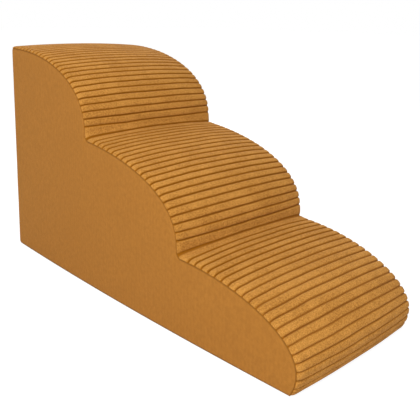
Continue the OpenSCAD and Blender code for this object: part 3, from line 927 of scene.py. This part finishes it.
# %% Columns of a side panel
quarter_wales = np.arange(0, wale_count + 0.01, 0.25) * wale_step
panel_s = np.interp(quarter_wales, crown_run, way_s)
crease_span, crease_columns = 22 * mm, 36
near_creases = [
    np.linspace(middle_s - crease_span, middle_s + crease_span, crease_columns)
    for middle_s in (crease_1_s, crease_2_s)
]
corner_x = corner_r * (1 - math.cos(quarter / 2))
corner_s = corner_x + np.array([0, 0.5, 1.1, 1.9, 2.9, 4.2, 5.6]) * mm
past_corner = panel_s[panel_s > corner_r]
panel_s = np.unique(np.round(np.concatenate([past_corner, *near_creases, corner_s]), 6))
top_x, top_z = seam_at(panel_s).T
base_end = seam[-1][0]
foot_x = corner_x + (panel_s - panel_s[0]) / (seam_len - panel_s[0]) * (base_end - corner_x)
foot_x[: len(corner_s)] = top_x[: len(corner_s)]
column_len = np.hypot(top_x - foot_x, top_z - base_z)[:, None]
edge_rows = np.array([0, 0.5, 1.0, 1.8, 3.0, 5.0, 8.0, 12.0]) * mm
full_len, middle_rows = 60 * mm, np.linspace(0, 1, 16)[1:-1]
low_rows = edge_rows * np.minimum(1, column_len / full_len)
high_rows = column_len - low_rows[:, ::-1]
between = low_rows[:, -1:] + (high_rows[:, :1] - low_rows[:, -1:]) * middle_rows
panel_rise = np.concatenate([low_rows, between, high_rows], axis=1)
risen = panel_rise / np.maximum(column_len, 1e-9)
panel_x = foot_x[:, None] + (top_x - foot_x)[:, None] * risen
panel_z = base_z + (top_z - base_z)[:, None] * risen

# %% [markdown]
# The swell, a faint ripple and the drawn-in seams are added along the outward direction. Both
# sides use the same columns, so they are cut alike, and only the ripple differs. A last value
# on each point tells the finish where to paint shade along the seams.

# %% Swell and seams of a side panel
top_seam_w, foot_seam_w, corner_seam_w, corner_seam = 1.7 * mm, 1.9 * mm, 1.5 * mm, 0.8
swell_h, swell_in, edge_swell_h, edge_swell_in = 0.9 * mm, 50 * mm, 0.45 * mm, 7 * mm
ripple_h, ripple_in, side_drawn_in, back_edge_adds = 0.3 * mm, 15 * mm, 1.3 * mm, 6 * mm
side_lining, side_corner_lining = 2 * mm, 0.6 * mm


def side_panel(side):
    to_top = column_len - panel_rise
    to_back = np.concatenate([[0], np.cumsum(np.abs(np.diff(foot_x)))])[:, None]
    drawn_and_shade = np.maximum(bell(to_top, top_seam_w), bell(panel_rise, foot_seam_w))
    drawn_and_shade = np.maximum(drawn_and_shade, corner_seam * bell(to_back, corner_seam_w))
    edge = np.minimum(np.minimum(to_top, panel_rise), to_back + back_edge_adds)
    swell = swell_h * ease(edge / swell_in) + edge_swell_h * ease(edge / edge_swell_in)
    ripple = ripple_h * wander(panel_x * 26, panel_z * 31, 7 + side) * ease(edge / ripple_in)
    out = swell + ripple - side_drawn_in * drawn_and_shade
    half = half_width(panel_x)
    on_corner = np.clip((corner_r - panel_x) / corner_r, 0, 1)
    outer = xyz(panel_x + back_x - out * on_corner, side * (half + out), panel_z)
    inner = xyz(panel_x + back_x + side_corner_lining * on_corner, side * (half - side_lining), panel_z)
    return outer, inner, drawn_and_shade


for side, name in ((-1, "left"), (1, "right")):
    outer, inner, drawn_and_shade = side_panel(side)
    panel, place, _ = cloth(f"cloth_side_{name}", outer, inner)
    # The seams' value also paints shade along them.
    mark_points(panel, "seam", drawn_and_shade.ravel()[place])
    dress(panel, "stairs", "side_cloth", side_cloth, f"side_panel_{name}", angle=60)

# %% [markdown]
# ## Back panels with the opening for the zip
# The back is sewn in two halves that meet above and below the zip. Each half is a grid whose
# columns run up the back and around half of the rounded corner, and its top follows the roll of
# the tread. The columns are closest together beside the slit and at the corner.

# %% Rows and columns of a back panel
opening = [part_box("zip_end_tab_lower")[0].z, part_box("zip_end_tab_upper")[1].z]
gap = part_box("zip_end_tab_lower")[1].y
beside_gap = gap + np.array([0, 0.5, 1.1, 2, 3.2, 5, 8, 14]) * mm
field_y = np.linspace(34 * mm, corner_y - 24 * mm, 8)
beside_corner = corner_y - np.array([20, 15, 10, 6, 3, 0]) * mm
flat_y = np.concatenate([[0, gap / 2], beside_gap, field_y, beside_corner])
corner_turns = np.radians([8, 16, 24, 31, 37, 41, 45])
plan_y = np.concatenate([flat_y, corner_y + corner_r * np.sin(corner_turns)])
plan_x = np.concatenate([0 * flat_y, corner_r * (1 - np.cos(corner_turns))])
plan_turn = np.concatenate([0 * flat_y, corner_turns])[:, None]
corner_drop = 0.6 * mm
back_top = stair_h + lining_out(0, np.clip(corner_y - plan_y, 0, None))
back_top = (back_top - np.where(plan_y > corner_y, corner_drop, 0))[:, None]
edge_steps = np.array([0, 0.5, 1.0, 1.8, 3, 5, 8]) * mm
lower_rows = np.concatenate([base_z + edge_steps, np.linspace(base_z + 14 * mm, opening[0], 4)])
upper_rows = np.linspace(*opening, 26)[1:]
print("opening", [round(z / mm, 1) for z in opening], "mm")

# %% [markdown]
# The folded edge beside the slit and the seam in the middle, above and below it, are drawn in
# like the other seams. Away from them the cloth swells a little over the foam, and it lies
# calm beside the zip.

# %% Swell and seams of a back panel
back_top_w, back_foot_w, fold_w, centre_w, slit_margin = 1.6 * mm, 1.9 * mm, 1 * mm, 1.2 * mm, 1 * mm
fold_seam, centre_seam, back_drawn_in, back_lining = 0.5, 0.35, 1.2 * mm, 1.5 * mm
back_edge_swell, back_edge_in, back_swell, back_swell_in = 0.5 * mm, 6 * mm, 0.7 * mm, 60 * mm
from_slit_in, back_ripple_in, calm_slit_in = 40 * mm, 20 * mm, 12 * mm


def back_rows():
    """Heights of the rows; above the opening they follow the top edge."""
    below = np.tile(np.concatenate([lower_rows, upper_rows]), (len(plan_y), 1))
    above = opening[1] + (back_top - opening[1]) * np.array([0.18, 0.35])
    return np.concatenate([below, above, back_top - edge_steps[::-1] * 0.9], axis=1)


def back_panel(side):
    z = back_rows()
    x, y, _ = np.broadcast_arrays(plan_x[:, None], plan_y[:, None], z)
    run = run_along(np.column_stack([plan_x, plan_y]))
    to_side = (run[-1] - run)[:, None]
    in_slit = (z > opening[0] - slit_margin) & (z < opening[1] + slit_margin)
    drawn_and_shade = bell(back_top - z, back_top_w) + bell(z - base_z, back_foot_w)
    drawn_and_shade = np.maximum(drawn_and_shade, corner_seam * bell(to_side, corner_seam_w))
    drawn_and_shade = np.maximum(drawn_and_shade, fold_seam * bell(y - gap, fold_w) * (y > gap - slit_margin) * in_slit)
    drawn_and_shade = np.maximum(drawn_and_shade, centre_seam * bell(y, centre_w) * ~in_slit)
    edge = np.minimum(np.minimum(z - base_z, back_top - z), to_side)
    swell = back_swell * ease(edge / back_swell_in) * ease((y - gap) / from_slit_in)
    swell = swell + back_edge_swell * ease(edge / back_edge_in)
    ripple = ripple_h * wander(y * 30, z * 24, 11 + side) * ease(edge / back_ripple_in)
    out = swell + ripple * ease((y - gap) / calm_slit_in) - back_drawn_in * drawn_and_shade
    outer = xyz(back_x + x - np.cos(plan_turn) * out, side * (y + np.sin(plan_turn) * out), z)
    inner_x = back_x + x + np.cos(plan_turn) * back_lining
    inner = xyz(inner_x, side * (y - np.sin(plan_turn) * back_lining), z)
    return outer, inner, np.clip(drawn_and_shade, 0, 1)


print("least step up the back", round(float(np.diff(back_rows(), axis=1).min()) / mm, 2), "mm")

# %% [markdown]
# Each half is one cloth. The faces over the slit are deleted before the extrude, so that the
# extrude closes the fold beside the zip.

# %% Two back panels


def over_slit(centres):
    return (abs(centres[:, 1]) < gap) & (centres[:, 2] > opening[0]) & (centres[:, 2] < opening[1])


for side, name in ((-1, "left"), (1, "right")):
    outer, inner, drawn_and_shade = back_panel(side)
    panel, place = cloth_with_opening(f"cloth_back_{name}", outer, inner, over_slit)
    # The seams' value also paints shade along them.
    mark_points(panel, "seam", drawn_and_shade.ravel()[place])
    dress(panel, "stairs", "side_cloth", back_cloth, f"back_panel_{name}", angle=60)

# %% [markdown]
# ## Base and its dots
# The base cloth closes the cover underneath, and its edge is sewn to the other panels, where it
# is lifted a little off the floor. At the toe it reaches out under the curl of the tread.

# %% Base cloth
back_steps = np.array([1.0, 1.4, 2.2, 3.4, 5, 7, 9]) * mm
middle_steps = np.linspace(20 * mm, base_end - 8 * mm, 30)
front_steps = base_end + np.array([-4, -1.5, 0]) * mm
base_x = np.concatenate([back_steps, middle_steps, front_steps])
side_steps = np.sin(np.linspace(-quarter, quarter, 23))
toe_reach, base_inset, base_lift, base_lift_w = 10 * mm, 1.5 * mm, 0.5 * mm, 3 * mm
rim_y = (half_width(base_x) - base_inset)[:, None]
base_y = rim_y * side_steps
from_rim = rim_y - np.abs(base_y)
toe_push = np.clip((base_x - base_end + toe_reach) / toe_reach, 0, None)[:, None]
under_x = back_x + base_x[:, None] + lining_out(seam_len, from_rim) * toe_push
under = xyz(under_x, base_y, base_z + base_lift * bell(from_rim, base_lift_w))
over = xyz(under_x, base_y, base_z + base_t)
base = cloth("cloth_base", under, over)[0]
dress(base, "stairs", "non_slip_cloth", base_cloth, "base_panel")

# %% [markdown]
# Small parts are blocks, cylinders and rings whose place is written into their mesh and whose
# edges are bevelled. What repeats is made once and copied, each copy with its own mesh, and
# the copies are joined under one name.

# %% Helpers for small parts


def settle():
    """Write the new primitive's place and size into its mesh."""
    bpy.ops.object.transform_apply(location=True, rotation=True, scale=True)
    return bpy.context.object


def bevel_edges(piece, chosen, offset, segments=2):
    edit_selected(piece, chosen, "EDGE")
    bpy.ops.mesh.bevel(offset=offset, segments=segments)
    leave_edit()


def joined(name, *parts):
    start_fresh()
    for part in parts:
        part.select_set(True)
    bpy.context.view_layer.objects.active = parts[0]
    bpy.ops.object.join()
    parts[0].name = parts[0].data.name = name
    return parts[0]


def copies(pattern, places, name):
    made = []
    for place in places:
        copy = pattern.copy()
        copy.data = pattern.data.copy()
        copy.data.transform(Matrix.Translation(place))
        bpy.context.scene.collection.objects.link(copy)
        made.append(copy)
    bpy.data.objects.remove(pattern)
    return joined(name, *made)


# %% [markdown]
# The dots are low rubber buttons: a short cylinder with a rounded lower rim, copied to every
# place of a triangular pattern.

# %% Grip dots
dot_d, dot_h, dot_pitch, dot_margin, dot_bevel = 7 * mm, 1.5 * mm, 32 * mm, 14 * mm, 0.55 * mm
start_fresh()
bpy.ops.mesh.primitive_cylinder_add(vertices=20, radius=dot_d / 2, depth=dot_h, location=(0, 0, dot_h / 2))
dot = settle()
bevel_edges(dot, np.all(edge_ends(dot)[:, :, 2] < dot_h / 4, axis=1), dot_bevel)
row_step = dot_pitch * math.sin(math.radians(60))
row_reach = int((stair_w / 2 - dot_margin) / row_step)
column_reach = int(toe_x / 2 / dot_pitch) + 2
spots = []
for row in range(-row_reach, row_reach + 1):
    for i in range(-column_reach, column_reach + 1):
        along = (i + abs(row % 2) / 2) * dot_pitch
        if dot_margin < along - back_x < base_end - dot_margin:
            spots.append((along, row * row_step, 0))
dots = copies(dot, spots, "rubber_dots")
dress(dots, "stairs", "grip_dot", rubber, "grip_dots", angle=35)
print(len(spots), "dots")

# %% [markdown]
# ## Foam
# Nothing of the foam shows while the cover is closed. It is made all the same, because the
# cover comes off: a wave-shaped block with a softer layer on its treads. The topping is laid
# like a cloth, one side half a millimetre under the plush and the other on the block.

# %% Topping foam
foam_gap, topping_t, side_t, back_t, tape_t = 0.5 * mm, 20 * mm, 2 * mm, 1.5 * mm, 0.7 * mm
foam_x, foam_z, foam_in = back_t + tape_t + foam_gap, base_z + base_t, side_t + foam_gap
foam_rows = 300
foam_s = np.linspace(foam_x, np.interp(-foam_z, -toe[:, 1], seam_run[-len(toe):]), foam_rows)
foam_turns = np.array([0, 0.12, 0.3, 0.55, 0.8, 1])
foam_middle, foam_ones = np.linspace(-1, 1, 17)[1:-1], np.ones(len(foam_turns))
foam_side = np.concatenate([-foam_ones, foam_middle, foam_ones])
in_foam_middle = np.abs(foam_side) < 1
edge_inset = foam_in + (roll_w - foam_in) * foam_turns
edge_inset = np.concatenate([edge_inset, 0 * foam_middle, edge_inset[::-1]])
foam_half = half_width(seam_at(foam_s)[:, 0])[:, None]
middle_inset = foam_half - np.abs(foam_side) * (foam_half - roll_w)
foam_inset = np.where(in_foam_middle, middle_inset, edge_inset)
foam_h = lining_out(foam_s[:, None], foam_inset) - foam_gap


def foam_grid(height):
    """Points of the topping at a height over the seam line."""
    out = outward(foam_s)[:, None] * np.broadcast_to(height, foam_inset.shape)[..., None]
    x, z = np.moveaxis(seam_at(foam_s)[:, None] + out, -1, 0)
    half = half_width(x)
    y = np.where(in_foam_middle, foam_side * (half - roll_w), np.sign(foam_side) * (half - foam_inset))
    return xyz(x + back_x, y, z)


topping = cloth("foam_topping", foam_grid(foam_h), foam_grid(-topping_t))[0]
dress(topping, "stairs", "topping_foam", soft_foam, "comfort_foam")

# %% [markdown]
# The block is laid as one side of the wave and extruded to the other. A boolean cut with a
# simple block makes the hollow behind the zip.

# %% Support foam
zip_low, zip_len = 46 * mm, 380 * mm
slider_t, slider_gap = 1.1 * mm, 0.3 * mm
hollow_deep, hollow_ends = back_t + tape_t + 2 * slider_gap + slider_t, 5 * mm
block_line = np.maximum(seam_at(foam_s) - outward(foam_s) * topping_t, [foam_x, foam_z])
block_foot = np.linspace([foam_x, foam_z], [block_line[-1, 0], foam_z], foam_rows)
block_columns = np.linspace(0, 1, 13)[:, None]
block_p = block_foot[:, None] + (block_line - block_foot)[:, None] * block_columns


def block_side(side):
    x, z = np.moveaxis(block_p, -1, 0)
    return xyz(x + back_x, side * (half_width(x) - foam_in), z)


def add_block(name, low, high):
    """A block between two corners."""
    start_fresh()
    low, high = Vector(low), Vector(high)
    bpy.ops.mesh.primitive_cube_add(size=1, location=(low + high) / 2)
    piece = bpy.context.object
    piece.name = piece.data.name = name
    piece.dimensions = high - low
    return settle()


block = cloth("foam_block", block_side(-1), block_side(1))[0]
hollow_low = (back_x + hollow_deep - 2 * hollow_ends, -gap, zip_low - hollow_ends)
hollow_high = (back_x + hollow_deep, gap, zip_low + zip_len + hollow_ends)
cutter = add_block("hollow_cutter", hollow_low, hollow_high)
work_on(block)
cut = block.modifiers.new("zip_hollow", "BOOLEAN")
cut.object = cutter
cut.operation = "DIFFERENCE"
bpy.ops.object.modifier_apply(modifier=cut.name)
bpy.data.objects.remove(cutter)
dress(block, "stairs", "support_foam", block_foam, "support_foam", angle=30)

# %% [markdown]
# ## Zip
# The zip lies in the opening of the back: two woven tapes, each with a coil of nylon along its
# edge. Each tape is a thin block at the place of its solid, with rounded edges.

# %% Tapes
tape_edge_r = 0.2 * mm


def rounded_block(name, low, high, radius, segments=3):
    piece = add_block(name, low, high)
    bevel_edges(piece, np.ones(len(piece.data.edges)), radius, segments)
    return piece


for name in ("left", "right"):
    tape = rounded_block(f"woven_tape_{name}", *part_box(f"zip_tape_{name}"), tape_edge_r, 2)
    dress(tape, "stairs", "zip_cloth", tape_cloth, f"zip_tape_{name}")

# %% [markdown]
# One turn of the coil is a small racetrack of wire. It starts as a torus whose far half is
# moved away, its head is made a little thicker where it locks, and then it is copied. A cord
# runs through the turns, and the right coil stands half a turn higher, so that the two lock.

# %% Coils
coil_pitch, coil_t, coil_w, coil_reach = 2.6 * mm, 2.4 * mm, 4.2 * mm, 0.8 * mm
wire_r, core_r = 0.42 * mm, 0.72 * mm
coil_mid_x, core_in, first_turn = back_x + back_t - coil_t / 2, 1.45 * mm, 0.3 * mm
head_from, head_fade, head_thicker, turn_lean = 1.4 * mm, 1.6 * mm, 0.2, 0.35


def coil_turn(side, low):
    start_fresh()
    ring_r = coil_t / 2 - wire_r
    bpy.ops.mesh.primitive_torus_add(
        major_segments=14, minor_segments=6, major_radius=ring_r, minor_radius=wire_r
    )
    turn = bpy.context.object
    x, y, z = points_of(turn).T
    y = y + np.where(y > 0, coil_w + coil_reach - coil_t, 0) - coil_w + coil_t / 2
    head = ease((y + head_from) / head_fade)
    z = z * (1 + head_thicker * head) + x * turn_lean * (1 - head)
    move_points(turn, xyz(x + coil_mid_x, -side * y, z + low))
    return turn


def coil_core(side):
    start_fresh()
    middle = (coil_mid_x, side * (coil_w - core_in), zip_low + zip_len / 2)
    bpy.ops.mesh.primitive_cylinder_add(vertices=10, radius=core_r, depth=zip_len, location=middle)
    return settle()


for side, name, first in ((-1, "left", first_turn), (1, "right", first_turn + coil_pitch / 2)):
    turn = coil_turn(side, zip_low + first + coil_pitch / 4)
    count = int((zip_len - first) / coil_pitch)
    coil = copies(turn, [(0, 0, i * coil_pitch) for i in range(count)], f"nylon_coil_{name}")
    turn_faces_out(coil)
    coil = joined(f"nylon_coil_{name}", coil, coil_core(side))
    dress(coil, "stairs", "zip_coil", nylon, f"zip_coil_{name}", angle=50)
    print(count, "turns on the", name)

# %% [markdown]
# The stops are small metal clamps, and the opening is closed at both ends by a tab of cloth.
# They are rounded blocks like the tapes. The two lower stops are one piece, a clamp on each
# tape with a narrow gap between them.

# %% Stops and end tabs
stop_edge_r, upper_stop_edge_r, end_tab_edge_r = 0.5 * mm, 0.55 * mm, 0.35 * mm
stop_from_middle = 0.3 * mm
stop_w = coil_w - stop_from_middle
stops_low, stops_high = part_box("zip_lower_stops")
stop_a_high = (stops_high.x, stops_low.y + stop_w, stops_high.z)
stop_b_low = (stops_low.x, stops_high.y - stop_w, stops_low.z)
lower_stops = joined(
    "metal_stops_lower",
    rounded_block("stop_a", stops_low, stop_a_high, stop_edge_r),
    rounded_block("stop_b", stop_b_low, stops_high, stop_edge_r),
)
dress(lower_stops, "stairs", "zip_metal", metal, "zip_lower_stops")
upper_stop = rounded_block("metal_stop_upper", *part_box("zip_upper_stop"), upper_stop_edge_r)
dress(upper_stop, "stairs", "zip_metal", metal, "zip_upper_stop")
for end in ("lower", "upper"):
    tab = rounded_block(f"cloth_end_tab_{end}", *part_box(f"zip_end_tab_{end}"), end_tab_edge_r)
    dress(tab, "stairs", "side_cloth", back_cloth, f"zip_end_tab_{end}")

# %% [markdown]
# Rows of stitches hold the folded edges to the tapes, and a dense bar of stitches holds each
# end tab. A stitch is a short spindle that dips into the cloth at both ends.

# %% Stitches
stitch_len, stitch_r, stitch_sunk, row_from_gap = 2.6 * mm, 0.24 * mm, 0.6 * mm, 2.6 * mm
stitch_step, past_opening = 1.22 * stitch_len, 2 * mm
bar_len, bar_r, bar_step, bar_sunk, bar_from_end = 3.2 * mm, 0.3 * mm, 0.95 * mm, 0.12 * mm, 3.4 * mm


def stitch(length, radius):
    start_fresh()
    bpy.ops.mesh.primitive_uv_sphere_add(segments=6, ring_count=5, radius=1)
    piece = bpy.context.object
    move_points(piece, points_of(piece) * [radius, radius, length / 2])
    return piece


row_z = np.arange(opening[0] - past_opening, opening[1] + past_opening, stitch_step)
for side, name in ((-1, "left"), (1, "right")):
    places = [(back_x - stitch_sunk, side * (gap + row_from_gap), z) for z in row_z]
    stitches = copies(stitch(stitch_len, stitch_r), places, f"zip_stitches_{name}")
    dress(stitches, "stairs", "zip_cloth", thread, angle=60)
bar_z = (opening[0] + bar_from_end, opening[1] - bar_from_end)
places = [(back_x - bar_sunk, i * bar_step, z) for z in bar_z for i in range(-5, 6)]
bars = copies(stitch(bar_len, bar_r), places, "end_tab_bar_stitches")
dress(bars, "stairs", "zip_cloth", thread, angle=60)

# %% [markdown]
# ## Slider and pull tab
# The slider is a pair of shield-shaped plates, one behind the chain and one before it. Each is
# a block whose corners are rounded with wide bevels, more at the upper shoulders than below,
# and whose rims are then softened with a fine one.

# %% Slider plates
front_low, front_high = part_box("zip_slider_front")
plate_low, plate_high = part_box("zip_slider_back")
shoulder_r, foot_r, rim_r, hair = 2.4 * mm, 1.2 * mm, 0.22 * mm, 0.01 * mm
slider_mid = (plate_low.z + plate_high.z) / 2


def shield(name, x):
    """A plate with round lower corners and drawn-in upper shoulders."""
    far_x = x + plate_high.x - plate_low.x
    piece = add_block(name, (x, plate_low.y, plate_low.z), (far_x, plate_high.y, plate_high.z))
    for top, radius in ((True, shoulder_r), (False, foot_r)):
        ends = edge_ends(piece)
        through = np.abs(ends[:, 0, 0] - ends[:, 1, 0]) > slider_t / 2
        high = ends[:, :, 2].mean(axis=1) > slider_mid
        corner = np.abs(ends[:, :, 1].mean(axis=1)) > plate_high.y - hair
        bevel_edges(piece, through & (high == top) & corner, radius, 5)
    ends = edge_ends(piece)
    bevel_edges(piece, np.abs(ends[:, 0, 0] - ends[:, 1, 0]) < slider_t / 2, rim_r)
    return piece


back_plate = shield("metal_slider_back", plate_low.x)
dress(back_plate, "zip_slider", "zip_metal", metal, "zip_slider_back")

# %% [markdown]
# The front plate carries a bail, the small bridge that the pull tab turns in, and two flanges
# that close round the coils. The bail is a strip that rises from the plate, turns twice and
# comes down again. It is laid like a narrow cloth along that path, one extrude gives it its
# thickness, and a bevel softens its long edges.

# %% Front plate with its bail and flanges
bail_w, bail_t, bail_len, bail_r, bail_bevel = 2.2 * mm, 1 * mm, 8 * mm, 1.5 * mm, 0.18 * mm
flange_t, flange_in, flange_r = 0.8 * mm, 0.6 * mm, 0.2 * mm
plate_t = plate_high.x - plate_low.x
plate_x = back_x + back_t - coil_t - slider_gap - plate_t
root_x, top_x = plate_x + plate_t / 2, front_low.x
bail_low, bail_high = slider_mid - bail_len / 2, slider_mid + bail_len / 2
bail_turn = np.linspace(0, quarter, 7)


def bail_side(inset):
    """The strip's points at an inset from its outer side."""
    r = bail_r - inset
    wide, narrow = bail_r - r * np.sin(bail_turn), bail_r - r * np.cos(bail_turn)
    x = np.concatenate([[root_x], top_x + wide, top_x + narrow, [root_x]])
    z = np.concatenate([[bail_low + inset], bail_low + narrow, bail_high - wide, [bail_high - inset]])
    return xyz(x[:, None], np.array([-1, 1]) * bail_w / 2, z[:, None])


bail = cloth("slider_bail", bail_side(0), bail_side(bail_t))[0]
ends = edge_ends(bail)
along_strip = np.abs(ends[:, 0, 1] - ends[:, 1, 1]) < hair
through_strip = np.abs(np.linalg.norm(ends[:, 0] - ends[:, 1], axis=1) - bail_t) < 2 * hair
bevel_edges(bail, along_strip & ~through_strip, bail_bevel)
turn_faces_out(bail)
flanges = []
for side in (-1, 1):
    flange_y = side * (plate_high.y - flange_in)
    low = (root_x, flange_y - flange_t / 2, bail_low)
    high = (front_high.x, flange_y + flange_t / 2, bail_high)
    flanges.append(rounded_block("flange", low, high, flange_r, 2))
slider_front = joined("metal_slider_front", shield("slider_front_plate", plate_x), bail, *flanges)
dress(slider_front, "zip_slider", "zip_metal", metal, "zip_slider_front")

# %% [markdown]
# The pull tab is a flat plate with a round end and a window near its top that lets the bail
# through. It starts as a grid laid to the outline, the window's faces are deleted, and one
# extrude makes it solid.

# %% Plate of the pull tab
tab_low, tab_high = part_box("zip_pull_tab")
axle_r, axle_gap, tab_w, tab_end_w, tab_bevel = 0.7 * mm, 0.25 * mm, 7 * mm, 8.4 * mm, 0.25 * mm
axle_x, axle_z = (tab_low.x + tab_high.x) / 2, tab_high.z - axle_r
window_w, window_low = bail_w + 4 * axle_gap, 2 * axle_z - bail_high - bail_t
bar_below, window_foot, taper, flare = 2.4 * mm, 1.2 * mm, 3 * mm, 0.16 * mm
end_r = tab_end_w / 2
end_turn = np.radians(np.linspace(0, 84, 10))
straight_z = [axle_z, axle_z - bar_below, window_low + window_foot, window_low, window_low - taper]
tab_z = np.concatenate([straight_z, tab_low.z + end_r - end_r * np.sin(end_turn)])
tab_half = np.concatenate([[tab_w / 2] * 4, [tab_w / 2 + flare], end_r * np.cos(end_turn)])
tab_y = tab_half[:, None] * np.array([-1, -0.75, -0.5, 0, 0.5, 0.75, 1])
tab_y[:4, 2], tab_y[:4, 4] = -window_w / 2, window_w / 2
tab_front, tab_back = (xyz(axle_x + dx, tab_y, tab_z[:, None]) for dx in (-axle_r, axle_r))


def in_window(centres):
    return (np.abs(centres[:, 1]) < window_w / 2) & (centres[:, 2] > window_low)


pull_tab = cloth_with_opening("metal_pull_tab", tab_front, tab_back, in_window)[0]
edit_selected(pull_tab, np.zeros(len(pull_tab.data.edges)), "EDGE")
bpy.ops.mesh.edges_select_sharp(sharpness=math.radians(50))
bpy.ops.mesh.bevel(offset=tab_bevel, segments=2)
leave_edit()
print("pull tab window", round(window_w / mm, 1), "mm wide")

# %% [markdown]
# The bar above the window is the axle that turns under the bail. It is a cylinder laid across
# the plate's upper edge and joined to it.

# %% Crossbar of the pull tab
axle_bevel = 0.2 * mm
start_fresh()
bpy.ops.mesh.primitive_cylinder_add(
    vertices=20, radius=axle_r, depth=tab_w, location=(axle_x, 0, axle_z), rotation=(quarter, 0, 0)
)
axle = settle()
bevel_edges(axle, np.ptp(edge_ends(axle)[:, :, 1], axis=1) < hair, axle_bevel)
pull_tab = joined("metal_pull_tab", pull_tab, axle)
dress(pull_tab, "pull_tab", "zip_metal", metal, "zip_pull_tab")

# %% [markdown]
# ## Floor and light
# The stairs stand on a plain pale floor in soft studio light. For rays from the camera the
# floor also glows, so that it melts into the white background and still keeps a soft shadow.
# That glow never reaches the stairs.

# %% Floor
floor_grey, glow_share, glow_level = 0.78, 0.7, 0.9


def seen_by_camera(tree):
    path = tree.nodes.new("ShaderNodeLightPath")
    return combine(tree, "MAXIMUM", path.outputs["Is Camera Ray"], path.outputs["Is Glossy Ray"])


start_fresh()
bpy.ops.mesh.primitive_plane_add(size=40, location=(0, 0, 0))
floor = bpy.context.object
floor.name = "floor"
floor_finish, tree, shader = new_finish("pale_floor", 0.9, specular=0.1)
feed(tree, (floor_grey,) * 3, shader.inputs["Base Color"])
glow = tree.nodes.new("ShaderNodeEmission")
glow.inputs["Strength"].default_value = glow_level / glow_share
blend = tree.nodes.new("ShaderNodeMixShader")
feed(tree, times(tree, seen_by_camera(tree), glow_share), blend.inputs["Fac"])
feed(tree, shader.outputs["BSDF"], blend.inputs[1])
feed(tree, glow.outputs["Emission"], blend.inputs[2])
feed(tree, blend.outputs["Shader"], tree.nodes["Material Output"].inputs["Surface"])
floor.data.materials.append(floor_finish)
print("floor finish", floor_finish.name)

# %% [markdown]
# Three soft boxes: the key from the front left and above, a weak fill on the lowest riser and
# one behind for the back panel. The world gives the rest and is pure white for the camera.

# %% Light
world_light, world_seen = 0.45, 1
scene = bpy.context.scene
scene.world = bpy.data.worlds.new("studio")
scene.world.use_nodes = True
tree = scene.world.node_tree
background = tree.nodes["Background"]
feed(tree, (1, 1, 1), background.inputs["Color"])
world_strength = remap(tree, seen_by_camera(tree), (0, 1), (world_light, world_seen))
feed(tree, world_strength, background.inputs["Strength"])


def softbox(name, place, aim, size, watts):
    data = bpy.data.lights.new(name, "AREA")
    data.size = size
    data.energy = watts
    lamp = bpy.data.objects.new(name, data)
    scene.collection.objects.link(lamp)
    lamp.location = place
    lamp.rotation_euler = (Vector(aim) - lamp.location).to_track_quat("-Z", "Y").to_euler()
    print(name, watts, "watts")


softbox("key_softbox", (0.74, -1.42, 1.72), (0, 0, 0.2), size=1.5, watts=39)
softbox("low_fill", (1.4, -0.45, 0.28), (0.38, 0, 0.06), size=0.8, watts=3)
softbox("back_softbox", (-1.5, 1.5, 1.4), (0, 0, 0.2), size=1.4, watts=20)
scene.view_settings.view_transform = "Standard"
